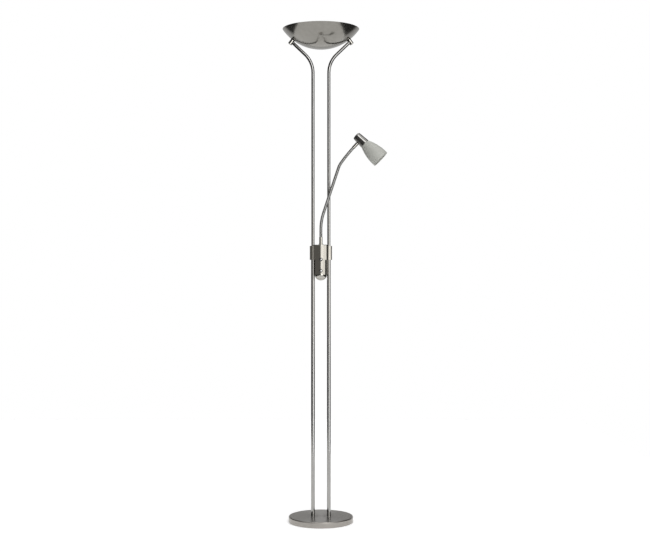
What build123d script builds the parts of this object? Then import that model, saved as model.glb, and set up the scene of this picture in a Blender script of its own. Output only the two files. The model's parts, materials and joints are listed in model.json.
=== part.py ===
from build123d import *
from math import acos, asin, cos, radians, sin, sqrt, tan
import os

# Twin-pole torchiere floor lamp with a reading light on a flexible neck.
# Millimetres. +Z is up, +X is to the right, the controls face -Y.
# The origin is the centre of the base on the floor.

os.makedirs("parts", exist_ok=True)

# ---------------------------------------------------------------- driving sizes
# Clearances
seat_gap = 0.2           # between curved pieces that seat on each other
running_gap = 0.1        # radial, between a shaft and the hole it turns in
hole_gap = 0.3           # radial, round a stud or screw that passes through
thread_gap = 0.1         # radial, where a thread is drawn as plain cylinders
cut_margin = 1.0         # how far a cut starts outside the wall that it opens

# Poles
pole_spacing = 58.0
lower_pole_radius = 7.0
upper_pole_radius = 6.0
pole_wall = 1.1
pole_joint_drop = 32.0   # from the control box's top down to the joint
pole_bend_radius = 92.0
pole_lean = 46.5         # degrees from upright at the upper end

# Base
base_radius = 117.5
base_height = 22.0
base_edge_radius = 3.5
cover_wall = 1.2
cover_lift = 1.0
pad_radius = 112.0
pad_thickness = 2.0
foot_thread_radius = 5.0
wire_bore_radius = 3.2
foot_recess_radius = 16.0
foot_recess_depth = 8.0
foot_washer_radius = 12.0
foot_washer_thickness = 1.5
foot_nut_flats = 17.0
foot_nut_height = 5.0
cord_channel_width = 10.0
cord_channel_depth = 7.0
spigot_length = 25.0     # how far a stud or coupler reaches into a tube
coupler_flange = 2.0

# Cord inlet at the back of the base
gland_height = 9.5
gland_bore_radius = 3.2
gland_neck_radius = 4.6
gland_flange_radius = 6.0
gland_flange = 2.0
gland_tail = 6.0
pocket_margin = 1.0      # between the gland and its pocket in the weight

# Control box: its heights are drops from its top
housing_top = 1012.0
housing_radius = 29.5
housing_front = 32.0
sleeve_radius = 11.7
sleeve_drop = 4.0
sleeve_length = 51.0
cap_height = 12.0
cap_edge_radius = 2.0
tongue_radius = 22.0
tongue_drop = 130.5
box_wall = 2.0
knob_drop = 54.0
knob_spacing = 41.0
knob_radius = 6.3
knob_length = 8.0
knob_standoff = 0.6
knob_edge_radius = 1.2
knob_mark_width = 1.0
knob_mark_depth = 0.6
shaft_radius = 3.0
dimmer_size = 15.0
dimmer_depth = 9.0
dimmer_neck_radius = 4.2
dimmer_neck = 8.0
dimmer_chamfer = 1.2
shaft_inset = 2.0        # from the board to the inner end of a dimmer's shaft
board_thickness = 1.6
board_back = 6.4         # distance of the board's rear face in front of the poles
board_margin = 14.0      # how far the board runs past a knob's middle
boss_radius = 4.2
boss_front_upper = 26.5  # how far the bosses reach in front of the poles
boss_front_lower = 12.0
boss_inset_upper = 12.0
boss_inset_lower = 17.5
boss_drop_upper = 28.0
boss_drop_lower = 76.0
screw_radius = 1.5
screw_head_radius = 2.9
screw_head = 1.8
screw_length = 17.0
terminal_width = 22.0
terminal_height = 12.0
terminal_depth = 8.0

# Reading arm: the stretches of its middle line, from the cap up
arm_forward = 18.0       # the arm's plane lies this far in front of the poles
arm_upright = 55.0
arm_lower_bend_radius = 196.0
arm_lower_lean = 18.4
arm_straight = 169.7
arm_upper_bend_radius = 80.0
arm_upper_lean = 36.0
arm_end_bend_radius = 633.0
arm_end_lean = 44.0
arm_stem_radius = 5.0
bushing_neck_radius = 6.6
bushing_flange_radius = 9.0
bushing_flange = 2.0
bushing_chamfer = 0.5
bushing_tail = 2.0       # how far the bushing reaches below the cap's seam
thread_end = 2.0         # length of stem that shows past its nut
arm_nut_flats = 13.0
arm_nut_height = 4.0
ferrule_radius = 6.3
ferrule_length = 28.0
ferrule_chamfer = 0.6
ferrule_collar_radius = 7.3
ferrule_collar = 2.0
ferrule_grip = 8.0       # length of neck held inside a ferrule
neck_radius = 5.5
neck_groove = 0.6
neck_bore_radius = 2.8
neck_bore_steps = 6
neck_pieces = 6
neck_first = 70.0        # distance along the arm to the first bending point
neck_spacing = 62.0
ribs_per_piece = 10
ball_gap = 0.3
tip_ferrule_radius = 6.0
tip_ferrule_length = 20.0
tip_bore_radius = 2.5

# Reading head
head_turn = 4.0          # degrees, towards the front
head_end_radius = 15.0
head_mouth_radius = 18.5
head_length = 44.5
head_end_fillet = 6.0
head_wall = 1.2
head_stem_place = 24.0   # from the closed end
head_stem_radius = 4.0
head_collar_radius = 7.0
head_collar = 2.4
collar_gap = 1.0         # between the collar and the curved side of the cap
head_nut_flats = 11.0
head_nut_height = 3.0
head_plate_place = 33.0
head_plate = 1.5
socket_shoulder_radius = 12.3
socket_radius = 10.0
socket_end = 57.0
shade_floor = 36.4
shade_floor_thickness = 2.4
shade_neck_radius = 16.4
shade_length = 81.0
shade_shoulder_radius = 18.3
shade_shoulder_place = 2.0   # distances from the cap's rim
shade_belly_radius = 29.0
shade_belly_place = 34.8
shade_flare_radius = 33.2
shade_flare_place = 68.0
shade_mouth_radius = 33.0
shade_wall = 2.4
shade_ring_height = 4.0
bulb_radius = 6.8
bulb_start = 52.0
bulb_end = 92.0
bulb_end_fillet = 5.8

# Bowl
bowl_radius = 140.0
bowl_depth = 71.7
bowl_wall = 1.2
bowl_top = 1800.0
clamp_angle = 36.2       # degrees from straight down, seen from the bowl's centre
clamp_radius = 7.6
clamp_length = 19.0
clamp_chamfer = 0.5
clamp_pole_place = 7.6   # from the clamp's inner end to the pole's middle line
clamp_pole_depth = 3.5   # how far a pole runs on past the clamp's middle line
clamp_washer_radius = 8.0
clamp_washer = 1.0
clamp_bolt_radius = 2.0
clamp_bolt_head_radius = 4.0
clamp_bolt_head = 2.6
bracket_width = 22.0
bracket_thickness = 1.5
bracket_foot = 9.0
cap_nut_flats = 7.0
cap_nut_height = 7.0
cap_nut_end = 1.0        # closed end of a cap nut

# Uplight lamp
holder_inset = 57.0      # inner face of a lampholder from the middle
holder_length = 18.0
holder_width = 16.0
holder_height = 24.0
holder_chamfer = 2.0
lamp_height = 17.0       # lamp's middle line above the bracket
lamp_tube_radius = 5.5
lamp_tube_fillet = 2.0
lamp_end_gap = 1.0       # between the glass tube's end and a lampholder
lamp_cap_radius = 3.6
lamp_cap_length = 8.0
contact_radius = 2.2
contact_gap = 0.05       # between a contact and the lamp's end
contact_travel = 3.0
glass_length = 172.0
glass_width = 56.0
glass_thickness = 3.2
glass_corner_radius = 4.0
glass_lift = 27.0        # underside of the guard glass above the bracket
clip_width = 12.0
clip_thickness = 1.0
clip_lip = 8.0

# ---------------------------------------------------------------- derived places
pole_x = pole_spacing / 2
cover_inside_radius = base_radius - cover_wall
base_deck = base_height - cover_wall
recess_ceiling = pad_thickness + foot_recess_depth
housing_axis_y = housing_radius - housing_front
tongue_axis_y = tongue_radius - housing_front
sleeve_top = housing_top - sleeve_drop
sleeve_bottom = sleeve_top - sleeve_length
tongue_centre_z = housing_top - tongue_drop + tongue_radius
cap_seam = housing_top - cap_height
pole_joint_height = housing_top - pole_joint_drop
knob_heights = {"lower": housing_top - knob_drop - knob_spacing, "upper": housing_top - knob_drop}
box_rear = sleeve_radius
bowl_sphere = (bowl_radius**2 + bowl_depth**2) / (2 * bowl_depth)
bowl_centre_z = bowl_top - bowl_depth + bowl_sphere


def save(piece, node):
    """Label a finished piece and write it under its own name."""
    piece.part.label = node
    export_step(piece.part, f"parts/{node}.step")


def ring(places, radius, bore, bottom, top, mode=Mode.ADD):
    """Upright tubes, or bars where the bore is zero, between two heights."""
    with BuildSketch(Plane.XY.offset(bottom)) as section:
        with Locations(*places):
            Circle(radius)
            if bore > 0:
                Circle(bore, mode=Mode.SUBTRACT)
    extrude(section.sketch, amount=top - bottom, mode=mode)


def bar(plane, radius, length, mode=Mode.ADD):
    """Round bar standing on a plane; a negative length runs the other way."""
    with BuildSketch(plane) as section:
        Circle(radius)
    extrude(section.sketch, amount=length, mode=mode)


def hexagon(places, flats, bore, bottom, height):
    """Upright hexagon nuts with a plain bore."""
    with BuildSketch(Plane.XY.offset(bottom)) as section:
        with Locations(*places):
            RegularPolygon(flats / 2, 6, major_radius=False)
            Circle(bore, mode=Mode.SUBTRACT)
    extrude(section.sketch, amount=height)


# ---------------------------------------------------------------- base
pole_places = [(-pole_x, 0), (pole_x, 0)]
pocket_width = 2 * (gland_flange_radius + pocket_margin)
pocket_depth = cover_wall + gland_flange + gland_tail + pocket_margin
pocket_top = gland_height + gland_flange_radius + seat_gap

with BuildPart() as base_cover:
    ring([(0, 0)], base_radius, 0, cover_lift, base_height)
    fillet(base_cover.faces().sort_by(Axis.Z)[-1].edges(), base_edge_radius)
    offset(amount=-cover_wall, openings=base_cover.faces().sort_by(Axis.Z)[0])
    ring(pole_places, foot_thread_radius + hole_gap, 0, base_deck, base_height, Mode.SUBTRACT)
    inlet = Plane(origin=(0, cover_inside_radius - cut_margin, gland_height), z_dir=(0, 1, 0))
    bar(inlet, gland_neck_radius + seat_gap, cover_wall + 2 * cut_margin, Mode.SUBTRACT)
save(base_cover, "base_cover")

with BuildPart() as base_weight:
    ring([(0, 0)], cover_inside_radius - hole_gap, 0, pad_thickness, base_deck)
    chamfer(base_weight.faces().sort_by(Axis.Z)[-1].edges(), base_edge_radius - cover_wall)
    ring(pole_places, foot_recess_radius, 0, pad_thickness, recess_ceiling, Mode.SUBTRACT)
    ring(pole_places, foot_thread_radius + hole_gap, 0, pad_thickness, base_height, Mode.SUBTRACT)
    # channel for the supply wires, from the inlet to both poles
    with BuildSketch(Plane.XY.offset(pad_thickness)):
        Rectangle(pole_spacing, cord_channel_width)
        Rectangle(cord_channel_width, base_radius, align=(Align.CENTER, Align.MIN))
    extrude(amount=cord_channel_depth, mode=Mode.SUBTRACT)
    # pocket behind the inlet
    with BuildSketch(Plane.XY.offset(pad_thickness)):
        with Locations((0, base_radius)):
            Rectangle(pocket_width, 2 * pocket_depth)
    extrude(amount=pocket_top - pad_thickness, mode=Mode.SUBTRACT)
save(base_weight, "base_weight")

with BuildPart() as base_pad:
    ring([(0, 0)], pad_radius, 0, 0, pad_thickness)
save(base_pad, "base_pad")

with BuildPart() as foot_washers:
    ring(pole_places, foot_washer_radius, foot_thread_radius + hole_gap,
         recess_ceiling - foot_washer_thickness, recess_ceiling)
save(foot_washers, "foot_washers")

foot_nut_top = recess_ceiling - foot_washer_thickness
with BuildPart() as foot_nuts:
    hexagon(pole_places, foot_nut_flats, foot_thread_radius + thread_gap,
            foot_nut_top - foot_nut_height, foot_nut_height)
save(foot_nuts, "foot_nuts")

lower_pole_bore = lower_pole_radius - pole_wall
upper_pole_bore = upper_pole_radius - pole_wall
with BuildPart() as foot_studs:
    ring(pole_places, foot_thread_radius, wire_bore_radius, pad_thickness + seat_gap, base_height)
    ring(pole_places, lower_pole_bore - seat_gap, wire_bore_radius,
         base_height, base_height + spigot_length)
save(foot_studs, "foot_studs")

# moulded gland: a flange outside the wall, a neck through it and a flange and tail inside
with BuildPart() as cable_gland:
    bar(Plane(origin=(0, base_radius + seat_gap / 2, gland_height), z_dir=(0, 1, 0)),
        gland_flange_radius, gland_flange)
    fillet(cable_gland.faces().sort_by(Axis.Y)[-1].edges(), gland_flange / 2)
    inner_face = cover_inside_radius - seat_gap
    bar(Plane(origin=(0, inner_face - gland_flange, gland_height), z_dir=(0, 1, 0)),
        gland_flange_radius, gland_flange)
    bar(Plane(origin=(0, inner_face - gland_flange - gland_tail, gland_height), z_dir=(0, 1, 0)),
        gland_neck_radius, gland_flange + gland_tail + cover_wall + 2 * seat_gap)
    bar(Plane(origin=(0, inner_face - gland_flange - gland_tail, gland_height), z_dir=(0, 1, 0)),
        gland_bore_radius, 2 * gland_flange + gland_tail + cover_wall + cut_margin, Mode.SUBTRACT)
save(cable_gland, "cable_gland")

# ---------------------------------------------------------------- poles
lower_pole_top = pole_joint_height - coupler_flange / 2
upper_pole_bottom = pole_joint_height + coupler_flange / 2
sides = {"left": -1, "right": 1}

for side, sign in sides.items():
    with BuildPart() as lower_pole:
        ring([(sign * pole_x, 0)], lower_pole_radius, lower_pole_bore, base_height, lower_pole_top)
    save(lower_pole, f"lower_pole_{side}")

with BuildPart() as pole_couplers:
    ring(pole_places, lower_pole_bore - seat_gap, wire_bore_radius,
         lower_pole_top - spigot_length, lower_pole_top)
    ring(pole_places, lower_pole_radius, wire_bore_radius, lower_pole_top, upper_pole_bottom)
    ring(pole_places, upper_pole_bore - seat_gap, wire_bore_radius,
         upper_pole_bottom, upper_pole_bottom + spigot_length)
save(pole_couplers, "pole_couplers")


def clamp_axis(sign):
    """Direction from the bowl's centre of curvature down through a clamp."""
    angle = radians(clamp_angle)
    return Vector(sign * sin(angle), 0, -cos(angle))


def on_clamp(sign, distance):
    """Plane across a clamp's axis, at a distance from the bowl's centre of curvature."""
    axis = clamp_axis(sign)
    return Plane(origin=Vector(0, 0, bowl_centre_z) + axis * distance, x_dir=(0, 1, 0), z_dir=axis)


clamp_start = bowl_sphere + seat_gap + clamp_washer
pole_target = on_clamp(1, clamp_start + clamp_pole_place).origin
pole_end = pole_target + Vector(sin(radians(pole_lean)), 0, cos(radians(pole_lean))) * clamp_pole_depth
lean = radians(pole_lean)
bend_run = pole_bend_radius * (1 - cos(lean))
pole_straight = (pole_end.X - pole_x - bend_run) / sin(lean)
bend_start = pole_end.Z - pole_straight * cos(lean) - pole_bend_radius * sin(lean)


def pole_path(sign):
    """Middle line of an upper pole: upright, one outward bend, then straight into its clamp."""
    with BuildLine() as path:
        upright = Line((sign * pole_x, 0, upper_pole_bottom), (sign * pole_x, 0, bend_start))
        middle = (sign * (pole_x + pole_bend_radius * (1 - cos(lean / 2))), 0,
                  bend_start + pole_bend_radius * sin(lean / 2))
        finish = (sign * (pole_x + bend_run), 0, bend_start + pole_bend_radius * sin(lean))
        ThreePointArc(upright @ 1, middle, finish)
        Line(finish, (sign * pole_end.X, 0, pole_end.Z))
    return path.line


for side, sign in sides.items():
    with BuildPart() as upper_pole:
        with BuildSketch(Plane.XY.offset(upper_pole_bottom)):
            with Locations((sign * pole_x, 0)):
                Circle(upper_pole_radius)
                Circle(upper_pole_bore, mode=Mode.SUBTRACT)
        sweep(path=pole_path(sign))
        bar(on_clamp(sign, clamp_start), clamp_bolt_radius + hole_gap, clamp_length, Mode.SUBTRACT)
    save(upper_pole, f"upper_pole_{side}")

# ---------------------------------------------------------------- bowl and its clamps
pole_direction = {sign: Vector(sign * sin(lean), 0, cos(lean)) for sign in sides.values()}

for side, sign in sides.items():
    with BuildPart() as clamp:
        bar(on_clamp(sign, clamp_start), clamp_radius, clamp_length)
        chamfer(clamp.edges().filter_by(GeomType.CIRCLE), clamp_chamfer)
        target = on_clamp(sign, clamp_start + clamp_pole_place).origin
        bore_end = target + pole_direction[sign] * (clamp_pole_depth + seat_gap)
        bar(Plane(origin=bore_end, z_dir=-pole_direction[sign]), upper_pole_radius + seat_gap,
            4 * clamp_radius, Mode.SUBTRACT)
        bar(on_clamp(sign, clamp_start), clamp_bolt_radius + hole_gap, clamp_length, Mode.SUBTRACT)
        bar(on_clamp(sign, clamp_start + clamp_length), clamp_bolt_head_radius + hole_gap,
            -clamp_bolt_head - seat_gap, Mode.SUBTRACT)
    save(clamp, f"clamp_{side}")

with BuildPart() as clamp_washers:
    for sign in sides.values():
        bar(on_clamp(sign, clamp_start - clamp_washer), clamp_washer_radius, clamp_washer)
        bar(on_clamp(sign, clamp_start - clamp_washer), clamp_bolt_radius + hole_gap, clamp_washer,
            Mode.SUBTRACT)
save(clamp_washers, "clamp_washers")

bowl_inner = bowl_sphere - bowl_wall
foot_flat = sqrt(bowl_inner**2 - (bracket_width / 2)**2 - bracket_foot**2) - seat_gap
nut_seat = foot_flat - bracket_thickness
head_seat = clamp_start + clamp_length - clamp_bolt_head
with BuildPart() as clamp_bolts:
    for sign in sides.values():
        bar(on_clamp(sign, nut_seat - cap_nut_height + cap_nut_end), clamp_bolt_radius,
            head_seat - nut_seat + cap_nut_height - cap_nut_end)
        bar(on_clamp(sign, head_seat), clamp_bolt_head_radius, clamp_bolt_head)
save(clamp_bolts, "clamp_bolts")

with BuildPart() as bowl_cap_nuts:
    for sign in sides.values():
        with BuildSketch(on_clamp(sign, nut_seat)) as section:
            RegularPolygon(cap_nut_flats / 2, 6, major_radius=False)
        extrude(section.sketch, amount=-cap_nut_height)
        bar(on_clamp(sign, nut_seat), clamp_bolt_radius + thread_gap,
            cap_nut_end - seat_gap - cap_nut_height, Mode.SUBTRACT)
save(bowl_cap_nuts, "bowl_cap_nuts")

# spun bowl: a spherical cap trimmed level at the rim
rim_angle = asin(bowl_radius / bowl_sphere)
inner_rim_angle = acos((bowl_centre_z - bowl_top) / bowl_inner)


def cap_point(radius, angle):
    """Point on a sphere about the bowl's centre of curvature, in the XZ plane."""
    return (radius * sin(angle), bowl_centre_z - radius * cos(angle))


with BuildPart() as bowl:
    with BuildSketch(Plane.XZ):
        with BuildLine():
            outer = ThreePointArc(cap_point(bowl_sphere, 0), cap_point(bowl_sphere, rim_angle / 2),
                                  cap_point(bowl_sphere, rim_angle))
            rim = Line(outer @ 1, cap_point(bowl_inner, inner_rim_angle))
            inner = ThreePointArc(rim @ 1, cap_point(bowl_inner, inner_rim_angle / 2),
                                  cap_point(bowl_inner, 0))
            Line(inner @ 1, outer @ 0)
        make_face()
    revolve(axis=Axis.Z)
    for sign in sides.values():
        bar(on_clamp(sign, nut_seat), clamp_bolt_radius + hole_gap, clamp_start - nut_seat,
            Mode.SUBTRACT)
save(bowl, "bowl")

# ---------------------------------------------------------------- uplight inside the bowl
# strip bracket: a straight run with a foot bent up along the bowl at each end
foot_hole = on_clamp(1, foot_flat).origin
along = Vector(cos(radians(clamp_angle)), 0, sin(radians(clamp_angle)))
foot_low = foot_hole - along * bracket_foot
foot_high = foot_hole + along * bracket_foot
inward = Vector(-sin(radians(clamp_angle)), 0, cos(radians(clamp_angle))) * bracket_thickness
bracket_bottom = foot_low.Z
bracket_top = bracket_bottom + bracket_thickness
with BuildPart() as lamp_bracket:
    with BuildSketch(Plane.XZ.offset(-bracket_width / 2)):
        with BuildLine():
            crook = bracket_thickness * tan(radians(clamp_angle) / 2)
            Polyline((0, bracket_bottom), (foot_low.X, bracket_bottom), (foot_high.X, foot_high.Z),
                     (foot_high.X + inward.X, foot_high.Z + inward.Z),
                     (foot_low.X - crook, bracket_top), (0, bracket_top), close=True)
        make_face()
        mirror(about=Plane.YZ)
    extrude(amount=bracket_width)
    for sign in sides.values():
        bar(on_clamp(sign, nut_seat - cut_margin), clamp_bolt_radius + hole_gap,
            bracket_thickness + 2 * cut_margin, Mode.SUBTRACT)
save(lamp_bracket, "lamp_bracket")

lamp_z = bracket_top + lamp_height
tube_end = holder_inset - lamp_end_gap
lamp_end = tube_end + lamp_cap_length
for side, sign in sides.items():
    with BuildPart() as lampholder:
        with BuildSketch(Plane.XY.offset(bracket_top)):
            with Locations((sign * (holder_inset + holder_length / 2), 0)):
                Rectangle(holder_length, holder_width)
        extrude(amount=holder_height)
        chamfer(lampholder.edges().filter_by(Axis.Y), holder_chamfer)
        # open slot that the lamp's end drops into, and the bore of the contact behind it
        with BuildSketch(Plane.XY.offset(lamp_z)):
            with Locations((sign * holder_inset, 0)):
                Rectangle(2 * lamp_cap_length, 2 * lamp_cap_radius + 2 * hole_gap)
        extrude(amount=holder_height, mode=Mode.SUBTRACT)
        bar(Plane(origin=(sign * holder_inset, 0, lamp_z), z_dir=(sign, 0, 0)),
            lamp_cap_radius + hole_gap, lamp_cap_length, Mode.SUBTRACT)
        bar(Plane(origin=(sign * holder_inset, 0, lamp_z), z_dir=(sign, 0, 0)),
            contact_radius + running_gap, holder_length, Mode.SUBTRACT)
    save(lampholder, f"lampholder_{side}")

with BuildPart() as halogen_tube:
    bar(Plane(origin=(-tube_end, 0, lamp_z), z_dir=(1, 0, 0)), lamp_tube_radius, 2 * tube_end)
    fillet(halogen_tube.edges().filter_by(GeomType.CIRCLE), lamp_tube_fillet)
save(halogen_tube, "halogen_tube")

with BuildPart() as halogen_caps:
    for sign in sides.values():
        bar(Plane(origin=(sign * tube_end, 0, lamp_z), z_dir=(sign, 0, 0)), lamp_cap_radius,
            lamp_cap_length)
save(halogen_caps, "halogen_caps")

# fixed contact on the left, sprung contact on the right
contact_length = holder_length - lamp_cap_length
with BuildPart() as contact_fixed:
    bar(Plane(origin=(-lamp_end - contact_gap, 0, lamp_z), z_dir=(-1, 0, 0)), contact_radius,
        contact_length)
save(contact_fixed, "contact_fixed")
with BuildPart() as contact_sprung:
    bar(Plane(origin=(lamp_end + contact_gap, 0, lamp_z), z_dir=(1, 0, 0)), contact_radius,
        contact_length - contact_travel)
save(contact_sprung, "contact_sprung")

# guard glass over the lamp, lying in two bent wire-strip clips
glass_bottom = bracket_top + glass_lift
with BuildPart() as guard_glass:
    with BuildSketch(Plane.XY.offset(glass_bottom)):
        RectangleRounded(glass_length, glass_width, glass_corner_radius)
    extrude(amount=glass_thickness)
save(guard_glass, "guard_glass")

with BuildPart() as glass_clips:
    riser_x = glass_length / 2 + seat_gap
    for sign in sides.values():
        with BuildSketch(Plane.XZ.offset(-clip_width / 2)) as section:
            with Locations((sign * (riser_x + clip_thickness / 2), bracket_top)):
                Rectangle(clip_thickness, glass_lift + glass_thickness + clip_thickness,
                          align=(Align.CENTER, Align.MIN))
            lip_x = sign * (riser_x + clip_thickness - clip_lip / 2)
            for lip_z in (bracket_top, glass_bottom - clip_thickness, glass_bottom + glass_thickness):
                with Locations((lip_x, lip_z)):
                    Rectangle(clip_lip, clip_thickness, align=(Align.CENTER, Align.MIN))
        extrude(section.sketch, amount=clip_width)
save(glass_clips, "glass_clips")

# ---------------------------------------------------------------- control box
arm_y = -arm_forward
tongue_straight = cap_seam - tongue_centre_z


def housing_form(inset):
    """Barrel over a round-ended tongue, drawn in by an inset; open cut at the cap's seam."""
    with BuildPart() as form:
        with BuildSketch(Plane.XY.offset(sleeve_bottom + inset)):
            with Locations((0, housing_axis_y)):
                Circle(housing_radius - inset)
            with Locations((0, box_rear - inset)):
                Rectangle(4 * housing_radius, 2 * housing_radius, align=(Align.CENTER, Align.MIN),
                          mode=Mode.SUBTRACT)
        extrude(amount=cap_seam - sleeve_bottom - inset)
        with BuildSketch(Plane.XY.offset(tongue_centre_z)):
            with Locations((0, tongue_axis_y)):
                Circle(tongue_radius - inset)
                Rectangle(2 * (tongue_radius - inset), box_rear - inset - tongue_axis_y,
                          align=(Align.CENTER, Align.MIN))
        extrude(amount=tongue_straight)
        with Locations((0, tongue_axis_y, tongue_centre_z)):
            Sphere(tongue_radius - inset)
        with BuildSketch(Plane.XZ.offset(inset - box_rear)):
            with Locations((0, tongue_centre_z)):
                Circle(tongue_radius - inset)
        extrude(amount=box_rear - inset - tongue_axis_y)
        split(bisect_by=Plane.XZ.offset(inset - box_rear), keep=Keep.TOP)
    return form.part


upper_boss_z, lower_boss_z = housing_top - boss_drop_upper, housing_top - boss_drop_lower
boss_places = [(sign * inset, height) for sign in sides.values() for inset, height in
               ((boss_inset_upper, upper_boss_z), (boss_inset_lower, lower_boss_z))]
boss_front = {upper_boss_z: boss_front_upper, lower_boss_z: boss_front_lower}
joint_in_sleeve = pole_joint_height + coupler_flange / 2

with BuildPart() as box_shell:
    add(housing_form(0))
    add(housing_form(box_wall), mode=Mode.SUBTRACT)
    ring(pole_places, sleeve_radius, 0, sleeve_bottom, sleeve_top)
    for x, z in boss_places:
        bar(Plane(origin=(x, box_rear - box_wall / 2, z), z_dir=(0, -1, 0)), boss_radius,
            box_rear - box_wall / 2 + boss_front[z])
    ring(pole_places, lower_pole_radius + seat_gap, 0, sleeve_bottom, joint_in_sleeve, Mode.SUBTRACT)
    ring(pole_places, upper_pole_radius + seat_gap, 0, joint_in_sleeve, sleeve_top, Mode.SUBTRACT)

with BuildPart() as box_front:
    add(box_shell.part)
    split(bisect_by=Plane.XZ, keep=Keep.TOP)
    for x, z in boss_places:
        bar(Plane(origin=(x, 0, z), z_dir=(0, -1, 0)), screw_radius + thread_gap,
            screw_length - box_rear + screw_head, Mode.SUBTRACT)
    for height in knob_heights.values():
        bar(Plane(origin=(0, -housing_front + 2 * box_wall, height), z_dir=(0, -1, 0)),
            dimmer_neck_radius + hole_gap, 3 * box_wall, Mode.SUBTRACT)
save(box_front, "box_front_cover")

with BuildPart() as box_back:
    add(box_shell.part)
    split(bisect_by=Plane.XZ, keep=Keep.BOTTOM)
    for x, z in boss_places:
        bar(Plane(origin=(x, box_rear, z), z_dir=(0, -1, 0)), screw_radius + hole_gap, box_rear,
            Mode.SUBTRACT)
        bar(Plane(origin=(x, box_rear, z), z_dir=(0, -1, 0)), screw_head_radius + hole_gap,
            screw_head + hole_gap, Mode.SUBTRACT)
save(box_back, "box_back_cover")

with BuildPart() as box_screws:
    head_bottom = box_rear - hole_gap - screw_head
    for x, z in boss_places:
        bar(Plane(origin=(x, head_bottom, z), z_dir=(0, 1, 0)), screw_head_radius, screw_head)
        bar(Plane(origin=(x, head_bottom, z), z_dir=(0, -1, 0)), screw_radius,
            screw_length - screw_head)
save(box_screws, "box_screws")

# cap over the barrel, cut round the two sleeves
with BuildPart() as box_cap:
    with BuildSketch(Plane.XY.offset(cap_seam)):
        with Locations((0, housing_axis_y)):
            Circle(housing_radius)
        with Locations((0, box_rear)):
            Rectangle(4 * housing_radius, 2 * housing_radius, align=(Align.CENTER, Align.MIN),
                      mode=Mode.SUBTRACT)
    extrude(amount=cap_height)
    fillet(box_cap.faces().sort_by(Axis.Z)[-1].edges(), cap_edge_radius)
    with BuildSketch(Plane.XY.offset(cap_seam)):
        with Locations((0, housing_axis_y)):
            Circle(housing_radius - box_wall)
        with Locations((0, box_rear - box_wall)):
            Rectangle(4 * housing_radius, 2 * housing_radius, align=(Align.CENTER, Align.MIN),
                      mode=Mode.SUBTRACT)
        with Locations(*pole_places):
            Circle(sleeve_radius + seat_gap + box_wall, mode=Mode.SUBTRACT)
    extrude(amount=cap_height - box_wall, mode=Mode.SUBTRACT)
    ring(pole_places, sleeve_radius + seat_gap, 0, cap_seam, housing_top, Mode.SUBTRACT)
    ring([(0, arm_y)], bushing_neck_radius + seat_gap, 0, cap_seam, housing_top, Mode.SUBTRACT)
save(box_cap, "box_cap")

board_front = board_back + board_thickness
knob_middle_z = (knob_heights["lower"] + knob_heights["upper"]) / 2
with BuildPart() as control_board:
    with BuildSketch(Plane.XZ.offset(board_back)):
        with Locations((0, knob_middle_z)):
            Rectangle(2 * (boss_inset_lower - boss_radius - hole_gap), knob_spacing + 2 * board_margin)
    extrude(amount=board_thickness)
save(control_board, "control_board")

with BuildPart() as terminal_block:
    with BuildSketch(Plane.XZ.offset(board_back)):
        with Locations((0, knob_middle_z)):
            Rectangle(terminal_width, terminal_height)
    extrude(amount=-terminal_depth)
save(terminal_block, "terminal_block")

dimmer_front = board_front + dimmer_depth
shaft_back = board_front + shaft_inset
knob_back = housing_front + knob_standoff
for name, height in knob_heights.items():
    with BuildPart() as dimmer:
        with BuildSketch(Plane.XZ.offset(board_front)):
            with Locations((0, height)):
                Rectangle(dimmer_size, dimmer_size)
        extrude(amount=dimmer_depth)
        chamfer(dimmer.edges().filter_by(Axis.Y), dimmer_chamfer)
        bar(Plane(origin=(0, -dimmer_front, height), z_dir=(0, -1, 0)), dimmer_neck_radius, dimmer_neck)
        bar(Plane(origin=(0, -shaft_back, height), z_dir=(0, -1, 0)), shaft_radius + running_gap,
            knob_back, Mode.SUBTRACT)
    save(dimmer, f"dimmer_{name}")

    with BuildPart() as shaft:
        bar(Plane(origin=(0, -shaft_back - seat_gap, height), z_dir=(0, -1, 0)), shaft_radius,
            knob_back + knob_length / 2 - shaft_back - seat_gap)
    save(shaft, f"dimmer_shaft_{name}")

    with BuildPart() as knob:
        bar(Plane(origin=(0, -knob_back, height), z_dir=(0, -1, 0)), knob_radius, knob_length)
        fillet(knob.faces().sort_by(Axis.Y)[0].edges(), knob_edge_radius)
        bar(Plane(origin=(0, -knob_back, height), z_dir=(0, -1, 0)), shaft_radius + thread_gap,
            knob_length / 2, Mode.SUBTRACT)
        # pointer groove from the middle of the face to its upper edge
        with BuildSketch(Plane.XZ.offset(knob_back + knob_length - knob_mark_depth)):
            with Locations((0, height)):
                Rectangle(knob_mark_width, knob_radius, align=(Align.CENTER, Align.MIN))
        extrude(amount=knob_length, mode=Mode.SUBTRACT)
    save(knob, f"knob_{name}")

# ---------------------------------------------------------------- reading arm
arm_stretches = [
    (arm_upright, 0.0),
    (radians(arm_lower_lean) * arm_lower_bend_radius, arm_lower_lean),
    (arm_straight, 0.0),
    (radians(arm_upper_lean - arm_lower_lean) * arm_upper_bend_radius, arm_upper_lean - arm_lower_lean),
    (radians(arm_end_lean - arm_upper_lean) * arm_end_bend_radius, arm_end_lean - arm_upper_lean),
]
arm_length = sum(length for length, turn in arm_stretches)


def arm_place(distance):
    """Point on the arm's middle line and its lean in radians, measured from the cap's top."""
    x, z, angle, left = 0.0, housing_top, 0.0, distance
    for number, (length, turn) in enumerate(arm_stretches):
        last = number == len(arm_stretches) - 1
        step = left if last else min(left, length)
        bend = radians(turn) * step / length
        chord = step if bend == 0 else 2 * sin(bend / 2) * step / bend
        x += chord * sin(angle + bend / 2)
        z += chord * cos(angle + bend / 2)
        angle += bend
        left -= step
        if left <= 0:
            break
    return x, z, angle


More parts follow.
